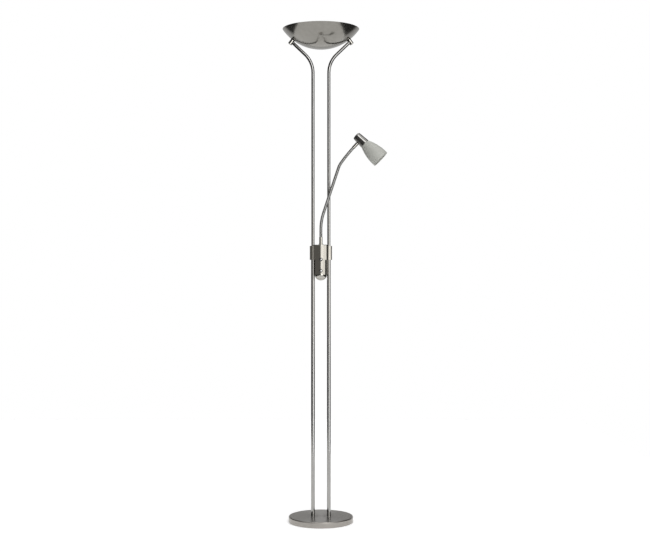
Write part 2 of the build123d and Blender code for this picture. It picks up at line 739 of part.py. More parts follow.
def arm_plane(distance):
    """Plane across the arm, with a steady X axis to the rear."""
    x, z, angle = arm_place(distance)
    return Plane(origin=(x, arm_y, z), x_dir=(0, 1, 0), z_dir=(sin(angle), 0, cos(angle)))


def round_loft(stations, mode=Mode.ADD):
    """Ruled loft through circles, each given as (distance along the arm, radius)."""
    circles = []
    for distance, radius in stations:
        with BuildSketch(arm_plane(distance)) as section:
            Circle(radius)
        circles.append(section.sketch)
    loft(circles, ruled=True, mode=mode)


bushing_low = cap_seam - bushing_tail
with BuildPart() as arm_bushing:
    ring([(0, arm_y)], bushing_neck_radius, 0, bushing_low, housing_top)
    ring([(0, arm_y)], bushing_flange_radius, 0, housing_top, housing_top + bushing_flange)
    chamfer(arm_bushing.faces().sort_by(Axis.Z)[-1].edges(), bushing_chamfer)
    ring([(0, arm_y)], arm_stem_radius + running_gap, 0, bushing_low,
         housing_top + bushing_flange, Mode.SUBTRACT)
save(arm_bushing, "arm_bushing")

nut_low = bushing_low - seat_gap - arm_nut_height
stem_end = nut_low - thread_end
ferrule_low = housing_top + bushing_flange + seat_gap
with BuildPart() as arm_ferrule:
    ring([(0, arm_y)], arm_stem_radius, 0, stem_end, ferrule_low)
    ring([(0, arm_y)], ferrule_radius, 0, ferrule_low, housing_top + ferrule_length)
    chamfer(arm_ferrule.faces().sort_by(Axis.Z)[-1].edges(), ferrule_chamfer)
    ring([(0, arm_y)], ferrule_collar_radius, 0, ferrule_low, ferrule_low + ferrule_collar)
    ring([(0, arm_y)], neck_radius + seat_gap, 0, housing_top + ferrule_length - ferrule_grip,
         housing_top + ferrule_length, Mode.SUBTRACT)
    ring([(0, arm_y)], neck_bore_radius, 0, stem_end, housing_top + ferrule_length, Mode.SUBTRACT)
save(arm_ferrule, "arm_ferrule")

with BuildPart() as arm_nut:
    hexagon([(0, arm_y)], arm_nut_flats, arm_stem_radius + thread_gap, nut_low, arm_nut_height)
save(arm_nut, "arm_nut")

# flexible neck: ribbed pieces, each ending in a ball that the next one's hollow end turns on
tip_ferrule_start = arm_length - tip_ferrule_length
neck_start = ferrule_length - ferrule_grip + seat_gap
neck_end = tip_ferrule_start + ferrule_grip - seat_gap
bend_points = [neck_first + neck_spacing * number for number in range(neck_pieces - 1)]
neck_limits = [neck_start] + bend_points + [neck_end]
rib_steps = ((0.0, neck_groove), (0.25, 0.0), (0.7, 0.0), (0.95, neck_groove))

for number in range(neck_pieces):
    low, high = neck_limits[number], neck_limits[number + 1]
    pitch = (high - low) / ribs_per_piece
    ribs = [(low + pitch * (rib + share), neck_radius - depth)
            for rib in range(ribs_per_piece) for share, depth in rib_steps]
    first, last = number == 0, number == neck_pieces - 1
    with BuildPart() as neck:
        round_loft(ribs + [(high, neck_radius - neck_groove)])
        if not last:
            with Locations(arm_plane(high).origin):
                Sphere(neck_radius)
        if not first:
            with Locations(arm_plane(low).origin):
                Sphere(neck_radius + ball_gap, mode=Mode.SUBTRACT)
        bore_low = low - neck_radius if first else low
        bore_high = high + neck_radius + ball_gap
        bore_step = (bore_high - bore_low) / neck_bore_steps
        middle = [bore_low + bore_step * step for step in range(neck_bore_steps + 1)]
        round_loft([(distance, neck_bore_radius) for distance in middle], Mode.SUBTRACT)
    save(neck, f"neck_{number + 1}")

# ---------------------------------------------------------------- reading head
arm_end = arm_plane(arm_length)
arm_direction = arm_end.z_dir
head_side_radius = head_end_radius + (head_mouth_radius - head_end_radius) * head_stem_place / head_length
head_pivot = arm_end.origin + arm_direction * (head_side_radius + head_collar)
straight_ahead = Vector(cos(radians(arm_end_lean)), 0, -sin(radians(arm_end_lean)))
turn = radians(-head_turn)
head_direction = straight_ahead * cos(turn) + arm_direction.cross(straight_ahead) * sin(turn)
head_origin = head_pivot - head_direction * head_stem_place
head_section = Plane(origin=head_origin, x_dir=arm_direction,
                     z_dir=arm_direction.cross(head_direction))
head_axis = Axis(head_origin, head_direction)


def on_head(distance):
    """Plane across the head's axis, measured from its closed end."""
    return Plane(origin=head_origin + head_direction * distance, x_dir=arm_direction,
                 z_dir=head_direction)


def on_stem(distance):
    """Plane across the swivel stem, at a distance before the head's axis."""
    return Plane(origin=head_pivot - arm_direction * distance, x_dir=(0, 1, 0), z_dir=arm_direction)


with BuildPart() as tip_ferrule:
    round_loft([(tip_ferrule_start, tip_ferrule_radius), (arm_length, tip_ferrule_radius)])
    round_loft([(tip_ferrule_start, neck_radius + seat_gap),
                (tip_ferrule_start + ferrule_grip, neck_radius + seat_gap)], Mode.SUBTRACT)
    bar(on_stem(head_side_radius + head_collar), head_collar_radius, head_collar - collar_gap)
    bar(on_stem(head_side_radius + head_collar), head_stem_radius, head_collar + head_side_radius / 2)
    bar(on_stem(head_side_radius + 2 * tip_ferrule_length), tip_bore_radius,
        3 * tip_ferrule_length, Mode.SUBTRACT)
save(tip_ferrule, "tip_ferrule")

with BuildPart() as head_cap:
    with BuildSketch(head_section):
        Polygon((0, 0), (head_end_radius, 0), (head_mouth_radius, head_length), (0, head_length),
                align=None)
    revolve(axis=head_axis)
    fillet(head_cap.edges().sort_by(head_axis)[0], head_end_fillet)
    with BuildSketch(head_section):
        Polygon((0, head_wall), (head_end_radius - head_wall, head_wall),
                (head_mouth_radius - head_wall, head_length), (0, head_length), align=None)
    hollow = revolve(axis=head_axis, mode=Mode.PRIVATE)
    add(hollow.fillet(head_end_fillet - head_wall, [hollow.edges().sort_by(head_axis)[0]]),
        mode=Mode.SUBTRACT)
    bar(on_stem(head_side_radius + head_wall), head_stem_radius + running_gap, 3 * head_wall,
        Mode.SUBTRACT)
save(head_cap, "head_cap")


def cap_inside(distance):
    """Inner radius of the head cap at a distance from its closed end."""
    slope = (head_mouth_radius - head_end_radius) / (head_length - head_wall)
    return head_end_radius - head_wall + slope * (distance - head_wall)


# the nut's corners touch the cap's curved wall first
nut_corner = head_nut_flats / 2 / cos(radians(30))
nut_place = sqrt(cap_inside(head_stem_place - nut_corner)**2 - nut_corner**2) - seat_gap
with BuildPart() as head_nut:
    with BuildSketch(on_stem(nut_place)) as section:
        RegularPolygon(head_nut_flats / 2, 6, major_radius=False)
        Circle(head_stem_radius + thread_gap, mode=Mode.SUBTRACT)
    extrude(section.sketch, amount=head_nut_height)
save(head_nut, "head_nut")

# plate across the cap that carries the lamp socket
with BuildPart() as socket_plate:
    bar(on_head(head_plate_place), cap_inside(head_plate_place) - seat_gap, head_plate)
    bar(on_head(head_plate_place), wire_bore_radius, head_plate, Mode.SUBTRACT)
save(socket_plate, "socket_plate")

socket_seat = head_plate_place + head_plate
with BuildPart() as reading_socket:
    bar(on_head(socket_seat), socket_shoulder_radius, shade_floor - socket_seat)
    bar(on_head(shade_floor), socket_radius, socket_end - shade_floor)
    bar(on_head(bulb_start), bulb_radius + hole_gap, socket_end, Mode.SUBTRACT)
    bar(on_head(socket_seat), wire_bore_radius / 2, bulb_start, Mode.SUBTRACT)
save(reading_socket, "reading_socket")


def tulip(inset, start):
    """Solid of the glass tulip from a start to its mouth, drawn in by an inset."""
    mouth = head_length + shade_length
    with BuildPart() as form:
        with BuildSketch(head_section):
            with BuildLine():
                neck = Line((shade_neck_radius - inset, start),
                            (shade_neck_radius - inset, head_length + seat_gap))
                shoulder = Line(neck @ 1, (shade_shoulder_radius - inset,
                                           head_length + shade_shoulder_place))
                side = Spline(shoulder @ 1,
                              (shade_belly_radius - inset, head_length + shade_belly_place),
                              (shade_flare_radius - inset, head_length + shade_flare_place),
                              (shade_mouth_radius - inset, mouth))
                Polyline(side @ 1, (0, mouth), (0, start), neck @ 0)
            make_face()
        revolve(axis=head_axis)
    return form.part


with BuildPart() as glass_shade:
    add(tulip(0, shade_floor))
    add(tulip(shade_wall, shade_floor + shade_floor_thickness), mode=Mode.SUBTRACT)
    bar(on_head(shade_floor), socket_radius + hole_gap, shade_floor_thickness, Mode.SUBTRACT)
save(glass_shade, "glass_shade")

ring_seat = shade_floor + shade_floor_thickness
with BuildPart() as shade_ring:
    bar(on_head(ring_seat), shade_neck_radius - shade_wall - hole_gap, shade_ring_height)
    bar(on_head(ring_seat), socket_radius + thread_gap, shade_ring_height, Mode.SUBTRACT)
save(shade_ring, "shade_ring")

with BuildPart() as reading_bulb:
    bar(on_head(bulb_start + seat_gap), bulb_radius, bulb_end - bulb_start)
    fillet(reading_bulb.edges().sort_by(head_axis)[-1], bulb_end_fillet)
save(reading_bulb, "reading_bulb")
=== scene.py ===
import json
import logging
import math
from collections.abc import Iterable, Sequence
from dataclasses import dataclass, field
from enum import Enum
from functools import cache

import bpy
from mathutils import Matrix, Vector


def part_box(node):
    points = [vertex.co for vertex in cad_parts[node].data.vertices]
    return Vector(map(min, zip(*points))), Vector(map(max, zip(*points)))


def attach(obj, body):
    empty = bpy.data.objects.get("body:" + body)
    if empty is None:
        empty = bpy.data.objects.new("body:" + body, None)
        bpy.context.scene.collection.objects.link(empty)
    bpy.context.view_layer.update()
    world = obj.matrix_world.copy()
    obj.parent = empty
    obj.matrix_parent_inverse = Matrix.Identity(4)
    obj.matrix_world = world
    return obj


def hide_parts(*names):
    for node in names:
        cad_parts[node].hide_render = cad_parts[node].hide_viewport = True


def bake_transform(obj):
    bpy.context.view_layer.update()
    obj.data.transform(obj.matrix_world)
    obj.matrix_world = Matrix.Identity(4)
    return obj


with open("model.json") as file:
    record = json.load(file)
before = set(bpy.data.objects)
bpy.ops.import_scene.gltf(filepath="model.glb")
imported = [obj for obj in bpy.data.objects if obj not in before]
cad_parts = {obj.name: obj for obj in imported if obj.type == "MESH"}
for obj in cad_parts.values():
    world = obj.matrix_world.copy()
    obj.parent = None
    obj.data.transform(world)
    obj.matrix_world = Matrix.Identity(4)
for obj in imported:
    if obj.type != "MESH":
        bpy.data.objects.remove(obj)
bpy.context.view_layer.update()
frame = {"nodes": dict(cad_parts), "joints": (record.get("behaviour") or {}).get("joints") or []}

log = logging.getLogger("torchiere")

Colour = tuple[float, float, float]


# ---------------------------------------------------------------- finishes
class Grain(Enum):
    """Which way the fine lines left by polishing run, as noise scales along X, Y and Z."""

    UPRIGHT = (700.0, 700.0, 9.0)
    EVEN = (900.0, 900.0, 900.0)
    CAST = (220.0, 220.0, 220.0)
    COARSE = (70.0, 70.0, 70.0)


class Recipe:
    """Node tree of one material while it is being put together."""

    def __init__(self, name: str) -> None:
        """Start a material with one plain surface shader.

        Args:
            name: Name of the material.
        """
        self.material = bpy.data.materials.new(f"{name}_look")
        self.material.use_nodes = True
        self.tree = self.material.node_tree
        self.surface = next(n for n in self.tree.nodes if n.type == "BSDF_PRINCIPLED")

    def set(self, **values: float | tuple[float, ...]) -> None:
        """Set sockets of the surface shader, given by name with underscores.

        Args:
            values: Socket names in lower case, such as base_color, and their values.
        """
        sockets = {s.name.lower().replace(" ", "_"): s for s in self.surface.inputs}
        for name, value in values.items():
            colour = isinstance(value, tuple) and len(value) == 3
            sockets[name].default_value = (*value, 1.0) if colour else value

    def node(self, kind: str, **settings: object) -> bpy.types.Node:
        """Add a node and set its properties.

        Args:
            kind: Type name of the node.
            settings: Properties of the node and their values.

        Returns:
            The new node.
        """
        made = self.tree.nodes.new(kind)
        for name, value in settings.items():
            setattr(made, name, value)
        return made

    def link(self, source: bpy.types.NodeSocket, target: bpy.types.NodeSocket) -> None:
        """Join two sockets."""
        self.tree.links.new(source, target)

    def place(self, stretch: tuple[float, float, float]) -> bpy.types.NodeSocket:
        """Position on the object in metres, stretched along each axis.

        Args:
            stretch: Factors along X, Y and Z.

        Returns:
            The socket that carries the stretched position.
        """
        position = self.node("ShaderNodeTexCoord")
        mapping = self.node("ShaderNodeMapping")
        mapping.inputs["Scale"].default_value = stretch
        self.link(position.outputs["Object"], mapping.inputs["Vector"])
        return mapping.outputs["Vector"]

    def speckle(self, place: bpy.types.NodeSocket, scale: float = 1.0,
                detail: float = 3.0) -> bpy.types.NodeSocket:
        """Noise over a position.

        Args:
            place: Socket with the position.
            scale: Factor on the position.
            detail: Number of finer layers.

        Returns:
            The noise, between 0 and 1.
        """
        noise = self.node("ShaderNodeTexNoise")
        noise.inputs["Scale"].default_value = scale
        noise.inputs["Detail"].default_value = detail
        self.link(place, noise.inputs["Vector"])
        return noise.outputs["Fac"]

    def spread(self, value: bpy.types.NodeSocket, low: float, high: float, start: float = 0.3,
               end: float = 0.7) -> bpy.types.NodeSocket:
        """Stretch a value over a range.

        Args:
            value: Socket to read.
            low: Result at the start.
            high: Result at the end.
            start: Value that gives the low result.
            end: Value that gives the high result.

        Returns:
            The stretched value.
        """
        reach = self.node("ShaderNodeMapRange", clamp=True)
        for name, number in (("From Min", start), ("From Max", end), ("To Min", low),
                             ("To Max", high)):
            reach.inputs[name].default_value = number
        self.link(value, reach.inputs["Value"])
        return reach.outputs["Result"]

    def tint(self, share: bpy.types.NodeSocket, dark: Colour, light: Colour) -> None:
        """Vary the base colour between two colours.

        Args:
            share: Socket with a value between 0 and 1.
            dark: Colour at 0.
            light: Colour at 1.
        """
        mix = self.node("ShaderNodeMix", data_type="RGBA")
        colours = [socket for socket in mix.inputs if socket.type == "RGBA"]
        for socket, colour in zip(colours, (dark, light)):
            socket.default_value = (*colour, 1.0)
        self.link(share, mix.inputs["Factor"])
        result = next(socket for socket in mix.outputs if socket.type == "RGBA")
        self.link(result, self.surface.inputs["Base Color"])

    def relief(self, height: bpy.types.NodeSocket, depth: float, strength: float) -> None:
        """Raise and sink the surface a little.

        Args:
            height: Socket with the height, between 0 and 1.
            depth: Height of 1 in metres.
            strength: How much of the relief shows.
        """
        bump = self.node("ShaderNodeBump")
        bump.inputs["Distance"].default_value = depth
        bump.inputs["Strength"].default_value = strength
        self.link(height, bump.inputs["Height"])
        self.link(bump.outputs["Normal"], self.surface.inputs["Normal"])


def shade_of(colour: Colour, factor: float) -> Colour:
    """Colour made darker or lighter.

    Args:
        colour: Colour to start from.
        factor: Factor on each channel.

    Returns:
        The new colour, kept under 1.
    """
    return tuple(min(1.0, channel * factor) for channel in colour)


@dataclass(frozen=True)
class Metal:
    """Bare, polished or plated metal with its own grain.

    The grain's depth is in metres, streak is how far the roughness varies along it, and clouds
    are the colour's factors in the darkest and lightest places.
    """

    name: str
    slot: str
    colour: Colour
    roughness: float
    grain: Grain
    depth: float = 0.00001
    streak: float = 0.04
    clouds: tuple[float, float] = (0.94, 1.03)
    cloud_scale: float = 0.3
    relief: float = 0.35

    def material(self) -> bpy.types.Material:
        """Make this finish's material.

        Returns:
            The material.
        """
        recipe = Recipe(self.name)
        recipe.set(metallic=1.0, base_color=self.colour)
        lines = recipe.speckle(recipe.place(self.grain.value))
        clouds = recipe.speckle(recipe.place(Grain.COARSE.value), self.cloud_scale, detail=2.0)
        low, high = self.roughness - self.streak, self.roughness + self.streak
        recipe.link(recipe.spread(lines, low, high), recipe.surface.inputs["Roughness"])
        dark, light = (shade_of(self.colour, factor) for factor in self.clouds)
        recipe.tint(recipe.spread(clouds, 0.0, 1.0), dark, light)
        recipe.relief(lines, self.depth, self.relief)
        return recipe.material


@dataclass(frozen=True)
class SpunMetal:
    """Metal turned on a lathe about the Z axis, with round brush lines and streaked gloss.

    Pull is how far the gloss is drawn out across the lines. The other values are those of Metal,
    with streak downwards and upwards.
    """

    name: str
    slot: str
    colour: Colour
    roughness: float
    pull: float
    lines_per_metre: float = 900.0
    detail: float = 4.0
    depth: float = 0.00002
    streak: tuple[float, float] = (0.05, 0.06)
    clouds: tuple[float, float] = (0.93, 1.03)
    relief: float = 0.3

    def material(self) -> bpy.types.Material:
        """Make this finish's material.

        Returns:
            The material.
        """
        recipe = Recipe(self.name)
        recipe.set(metallic=1.0, base_color=self.colour, anisotropic=self.pull)
        position = recipe.node("ShaderNodeTexCoord").outputs["Object"]
        flat = recipe.node("ShaderNodeVectorMath", operation="MULTIPLY")
        flat.inputs[1].default_value = (1.0, 1.0, 0.0)
        recipe.link(position, flat.inputs[0])
        radius = recipe.node("ShaderNodeVectorMath", operation="LENGTH")
        recipe.link(flat.outputs["Vector"], radius.inputs[0])
        turns = recipe.node("ShaderNodeTexNoise", noise_dimensions="1D")
        turns.inputs["Scale"].default_value = self.lines_per_metre
        turns.inputs["Detail"].default_value = self.detail
        recipe.link(radius.outputs["Value"], turns.inputs["W"])
        clouds = recipe.speckle(recipe.place(Grain.COARSE.value))
        low, high = self.roughness - self.streak[0], self.roughness + self.streak[1]
        recipe.link(recipe.spread(turns.outputs["Fac"], low, high),
                    recipe.surface.inputs["Roughness"])
        dark, light = (shade_of(self.colour, factor) for factor in self.clouds)
        recipe.tint(recipe.spread(clouds, 0.0, 1.0), dark, light)
        recipe.relief(turns.outputs["Fac"], self.depth, self.relief)
        tangent = recipe.node("ShaderNodeTangent", direction_type="RADIAL", axis="Z")
        recipe.link(tangent.outputs["Tangent"], recipe.surface.inputs["Tangent"])
        return recipe.material


@dataclass(frozen=True)
class Moulding:
    """Plastic, rubber, ceramic or laminate with a fine moulded texture."""

    name: str
    slot: str
    colour: Colour
    roughness: float
    grain: Grain = Grain.EVEN
    depth: float = 0.00002
    mottle: float = 0.06
    streak: float = 0.05
    relief: float = 0.4

    def material(self) -> bpy.types.Material:
        """Make this finish's material.

        Returns:
            The material.
        """
        recipe = Recipe(self.name)
        recipe.set(base_color=self.colour)
        speckle = recipe.speckle(recipe.place(self.grain.value))
        recipe.tint(recipe.spread(speckle, 0.0, 1.0), shade_of(self.colour, 1.0 - self.mottle),
                    shade_of(self.colour, 1.0 + self.mottle))
        low, high = self.roughness - self.streak, self.roughness + self.streak
        recipe.link(recipe.spread(speckle, low, high), recipe.surface.inputs["Roughness"])
        recipe.relief(speckle, self.depth, self.relief)
        return recipe.material


@dataclass(frozen=True)
class Glass:
    """Clear or frosted glass, with bending as its index of refraction."""

    name: str
    slot: str
    colour: Colour
    roughness: float
    clearness: float
    mottle: float = 0.02
    streak: float = 0.03
    bending: float = 1.48

    def material(self) -> bpy.types.Material:
        """Make this finish's material.

        Returns:
            The material.
        """
        recipe = Recipe(self.name)
        recipe.set(transmission_weight=self.clearness, ior=self.bending)
        speckle = recipe.speckle(recipe.place(Grain.EVEN.value))
        recipe.tint(recipe.spread(speckle, 0.0, 1.0), shade_of(self.colour, 1.0 - self.mottle),
                    self.colour)
        low, high = max(self.roughness - self.streak, 0.0), self.roughness + self.streak
        recipe.link(recipe.spread(speckle, low, high), recipe.surface.inputs["Roughness"])
        return recipe.material


Finish = Metal | SpunMetal | Moulding | Glass

POLE_NICKEL = Metal("brushed_nickel", "brushed_nickel", (0.37, 0.365, 0.355), 0.12, Grain.UPRIGHT,
                    depth=0.0000008, streak=0.02)
BOWL_NICKEL = SpunMetal("spun_nickel", "spun_nickel", (0.28, 0.27, 0.247), 0.15, 0.55)
BASE_NICKEL = SpunMetal("turned_nickel", "brushed_nickel", (0.36, 0.34, 0.315), 0.30, 0.5)
BOX_NICKEL = Metal("polished_nickel", "polished_nickel", (0.46, 0.445, 0.41), 0.12, Grain.EVEN,
                   streak=0.02)
# darker copy of the box's polished nickel for the head cap: painted shade in its colour
SHADED_HEAD_NICKEL = Metal("head_nickel", "polished_nickel", (0.30, 0.295, 0.28), 0.20, Grain.EVEN,
                    streak=0.02)
NECK_NICKEL = Metal("neck_nickel", "neck_nickel", (0.32, 0.317, 0.305), 0.2, Grain.EVEN,
                    depth=0.000004)
KNOB_CHROME = Metal("knob_chrome", "knob_chrome", (0.50, 0.495, 0.49), 0.12, Grain.EVEN,
                    streak=0.02)
# near-black grip around the bright cap: painted shade in the knob's colour
KNOB_SHADE_BLACK = Moulding("knob_black", "black_plastic", (0.018, 0.018, 0.019), 0.34)
ZINC = Metal("zinc_steel", "zinc_steel", (0.42, 0.43, 0.44), 0.34, Grain.EVEN)
BRASS = Metal("brass", "brass", (0.58, 0.43, 0.18), 0.30, Grain.EVEN)
FILAMENT = Metal("tungsten", "zinc_steel", (0.30, 0.29, 0.28), 0.35, Grain.EVEN)
CAST_IRON = Moulding("cast_iron", "cast_iron", (0.075, 0.072, 0.068), 0.72, Grain.CAST,
                     depth=0.0003, mottle=0.25)
FELT = Moulding("foam_rubber", "felt_rubber", (0.03, 0.03, 0.032), 0.92, Grain.CAST,
                depth=0.0004, mottle=0.3)
BLACK_RUBBER = Moulding("black_rubber", "black_rubber", (0.022, 0.022, 0.023), 0.62)
BLACK_PLASTIC = Moulding("black_plastic", "black_plastic", (0.02, 0.02, 0.021), 0.42)
WHITE_PLASTIC = Moulding("white_plastic", "white_plastic", (0.66, 0.65, 0.61), 0.4)
LAMINATE = Moulding("circuit_board", "circuit_board", (0.05, 0.20, 0.09), 0.45)
CERAMIC = Moulding("ceramic", "ceramic", (0.70, 0.685, 0.64), 0.35)
CLEAR_GLASS = Glass("clear_glass", "clear_glass", (0.97, 0.985, 0.98), 0.03, clearness=1.0)
FROSTED_GLASS = Glass("frosted_glass", "frosted_glass", (0.52, 0.525, 0.485), 0.5, clearness=0.0)
FLOOR_PAINT = Moulding("floor_paint", "", (0.90, 0.90, 0.90), 0.9, Grain.COARSE, depth=0.0, mottle=0.0)


@cache
def material_of(finish: Finish) -> bpy.types.Material:
    """Material of a finish, made once."""
    return finish.material()


def dress(finish: Finish, *nodes: str) -> None:
    """Give carried-over CAD pieces a finish.

    Args:
        finish: The finish.
        nodes: Names of the pieces.
    """
    for node in nodes:
        for place in frame["nodes"][node].material_slots:
            place.material = material_of(finish)
        log.info("dressed %s in %s", node, finish.name)


# ---------------------------------------------------------------- bench
MERGE_DISTANCE = 0.000002
RIB_MERGE_DISTANCE = 0.00001


def clear_bench() -> None:
    """Leave edit mode and deselect everything."""
    if bpy.context.mode != "OBJECT":
        bpy.ops.object.mode_set(mode="OBJECT")
    bpy.ops.object.select_all(action="DESELECT")


def pick(piece: bpy.types.Object) -> None:
    """Select one piece alone and make it the active one.

    Args:
        piece: The piece.
    """
    clear_bench()
    piece.select_set(True)
    bpy.context.view_layer.objects.active = piece


def turned(name: str, stations: Sequence[tuple[float, float]], sides: int = 48,
           filled: bool = True) -> bpy.types.Object:
    """Piece turned about the Z axis: a disc or hoop extruded and scaled from station to station.

    Args:
        name: Name of the piece.
        stations: Radius and height of each station, in metres.
        sides: Number of sides round the piece.
        filled: True for a closed solid, False for an open skin.

    Returns:
        The new piece, open to further work.
    """
    clear_bench()
    radius, height = stations[0]
    bpy.ops.mesh.primitive_circle_add(vertices=sides, radius=1.0,
                                      fill_type="NGON" if filled else "NOTHING")
    piece = bpy.context.object
    piece.name = piece.data.name = name
    bpy.ops.object.mode_set(mode="EDIT")
    bpy.ops.mesh.select_mode(type="VERT")
    bpy.ops.mesh.select_all(action="SELECT")
    bpy.ops.transform.resize(value=(radius, radius, 1.0), center_override=(0.0, 0.0, 0.0))
    bpy.ops.transform.translate(value=(0.0, 0.0, height))
    for next_radius, next_height in stations[1:]:
        bpy.ops.mesh.extrude_region_move(
            TRANSFORM_OT_translate={"value": (0.0, 0.0, next_height - height)})
        scale = next_radius / radius
        bpy.ops.transform.resize(value=(scale, scale, 1.0), center_override=(0.0, 0.0, next_height))
        radius, height = next_radius, next_height
    bpy.ops.object.mode_set(mode="OBJECT")
    return piece


def press(piece: bpy.types.Object, kind: str, **settings: object) -> None:
    """Add a modifier to a piece and apply it at once.

    Args:
        piece: The piece.
        kind: Type name of the modifier.
        settings: Properties of the modifier and their values.
    """
    pick(piece)
    modifier = piece.modifiers.new(kind.lower(), kind)
    for name, value in settings.items():
        setattr(modifier, name, value)
    bpy.ops.object.modifier_apply(modifier=modifier.name)


def cut(piece: bpy.types.Object, *cutters: bpy.types.Object) -> None:
    """Cut the shapes of other pieces out of a piece, and throw those away.

    Args:
        piece: The piece.
        cutters: The other pieces.
    """
    for cutter in cutters:
        press(piece, "BOOLEAN", object=cutter, operation="DIFFERENCE", solver="EXACT")
        bpy.data.objects.remove(cutter)


def turn_faces_out(piece: bpy.types.Object) -> None:
    """Merge doubled points and make the faces look outwards.

    Args:
        piece: The piece.
    """
    pick(piece)
    bpy.ops.object.mode_set(mode="EDIT")
    bpy.ops.mesh.select_all(action="SELECT")
    bpy.ops.mesh.remove_doubles(threshold=MERGE_DISTANCE)
    bpy.ops.mesh.normals_make_consistent(inside=False)
    bpy.ops.object.mode_set(mode="OBJECT")


def standing_on(place: Vector, direction: Vector) -> Matrix:
    """Place of a piece that was made upright at the origin.

    Args:
        place: Where its origin goes.
        direction: Where its Z axis points.

    Returns:
        The matrix that takes it there.
    """
    return Matrix.Translation(place) @ direction.to_track_quat("Z", "Y").to_matrix().to_4x4()


def settle(piece: bpy.types.Object, *places: Matrix) -> bpy.types.Object:
    """Set a piece, and a copy of it for each further place, as one mesh at their places.

    Args:
        piece: The piece, made upright at the origin.
        places: Where the piece and its copies go.

    Returns:
        The piece, with its object at the origin.
    """
    copies = []
    for place in places[1:]:
        pick(piece)
        bpy.ops.object.duplicate(linked=False)
        copies.append(bpy.context.object)
        copies[-1].matrix_world = place
    piece.matrix_world = places[0]
    pick(piece)
    for copy in copies:
        copy.select_set(True)
    bpy.ops.object.transform_apply(location=True, rotation=True, scale=True)
    if copies:
        bpy.ops.object.join()
    return piece


def complete(piece: bpy.types.Object, finish: Finish, body: str, replaced: Iterable[str] = (),
             crease: float = 35.0, bend: tuple[str, Vector, Vector] | None = None) -> bpy.types.Object:
    """Smooth and dress a piece, hang it on its body unless bend is given, and log it.

    Args:
        piece: The piece, with its place in its mesh.
        finish: Finish of the whole piece.
        body: Body that it moves with.
        replaced: Names of the plain pieces that it stands for.
        crease: Edges sharper than this many degrees stay sharp.
        bend: For a piece meant to bend from one body to the next: the next body, and where the
        bend would start and end. Only whether it is given is read: the piece is left where it
        lies and hung on no body.

    Returns:
        The piece.
    """
    turn_faces_out(piece)
    pick(piece)
    bpy.ops.object.shade_smooth_by_angle(angle=math.radians(crease))
    piece.data.materials.clear()
    piece.data.materials.append(material_of(finish))
    if bend is None:
        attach(piece, body)
    else:
        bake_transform(piece)
    if replaced:
        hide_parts(*replaced)
    log.info("made %s for %s, %d faces", piece.name, body, len(piece.data.polygons))
    return piece


class Recess(Enum):
    """Shape sunk into a screw's head."""

    CROSS = "cross"
    HEXAGON = "hexagon"


@dataclass(frozen=True)
class Screw:
    """Machine screw with a domed head, sized in metres.

    Each station of the dome is a share of the head's radius and a share of its height.
    """

    head_radius: float
    head: float
    shank_radius: float
    shank: float
    recess: Recess
    dome: tuple[tuple[float, float], ...] = ((1.0, 0.0), (1.0, 0.55), (0.94, 0.8), (0.78, 0.96),
                                             (0.6, 1.0))
    point: float = 0.8
    point_start: float = 0.97
    sides: int = 40

    def make(self, name: str) -> bpy.types.Object:
        """Model the screw upright, with the underside of its head at the origin.

        Args:
            name: Name of the piece.

        Returns:
            The screw.
        """
        shank = [(self.shank_radius * self.point, -self.shank),
                 (self.shank_radius, -self.shank * self.point_start), (self.shank_radius, 0.0)]
        head = [(self.head_radius * across, self.head * up) for across, up in self.dome]
        piece = turned(name, shank + head, self.sides)
        if self.recess is Recess.HEXAGON:
            cut(piece, self.hexagon())
        else:
            for quarter in (0.0, 90.0):
                cut(piece, self.blade(quarter))
        return piece

    def hexagon(self, width: float = 0.5, floor: float = 0.35) -> bpy.types.Object:
        """Six-sided bar that sinks a socket in the head's top.

        Args:
            width: Radius over the corners, as a share of the head's.
            floor: Height of the socket's floor, as a share of the head's height.

        Returns:
            The bar, upright and taller than the head.
        """
        radius = self.head_radius * width
        return turned("socket_bit", [(radius, self.head * floor), (radius, self.head * 1.5)], 6)

    def blade(self, quarter: float, length: float = 1.1, width: float = 0.2,
              middle: float = 0.95) -> bpy.types.Object:
        """Bar that sinks one slot of a cross in the head's top.

        Args:
            quarter: Turn about the screw's axis, in degrees.
            length: Length of the slot, as a share of the head's radius.
            width: Width of the slot, as a share of the head's radius.
            middle: Height of the bar's middle, as a share of the head's height.

        Returns:
            The bar.
        """
        clear_bench()
        bpy.ops.mesh.primitive_cube_add(size=1.0)
        bar = bpy.context.object
        bar.scale = (self.head_radius * length, self.head_radius * width, self.head)
        bar.location = (0.0, 0.0, self.head * middle)
        bar.rotation_euler = (0.0, 0.0, math.radians(quarter))
        bpy.ops.object.transform_apply(location=True, rotation=True, scale=True)
        return bar


@dataclass(frozen=True)
class Filament:
    """Coiled wire of a lamp, sized in metres."""

    coil_radius: float = 0.0009
    wire_radius: float = 0.00022
    turns: int = 30
    pitch: float = 0.0011
    wire_sides: int = 8
    steps_per_turn: int = 12

    @property
    def length(self) -> float:
        """Length of the coil."""
        return self.turns * self.pitch

    def make(self, name: str) -> bpy.types.Object:
        """Wind the coil about the Z axis.

        Args:
            name: Name of the piece.

        Returns:
            The coil, centred on its own length.
        """
        clear_bench()
        bpy.ops.mesh.primitive_circle_add(vertices=self.wire_sides, radius=self.wire_radius,
                                          fill_type="NGON",
                                          location=(self.coil_radius, 0.0, 0.0),
                                          rotation=(math.radians(90.0), 0.0, 0.0))
        wire = bpy.context.object
        wire.name = wire.data.name = name
        bpy.ops.object.transform_apply(location=True, rotation=True, scale=True)
        press(wire, "SCREW", axis="Z", angle=math.tau, steps=self.steps_per_turn,
              render_steps=self.steps_per_turn, iterations=self.turns, screw_offset=self.pitch,
              use_merge_vertices=True)
        bpy.ops.object.mode_set(mode="EDIT")
        bpy.ops.mesh.select_all(action="SELECT")
        bpy.ops.transform.translate(value=(0.0, 0.0, -self.length / 2))
        bpy.ops.object.mode_set(mode="OBJECT")
        return wire


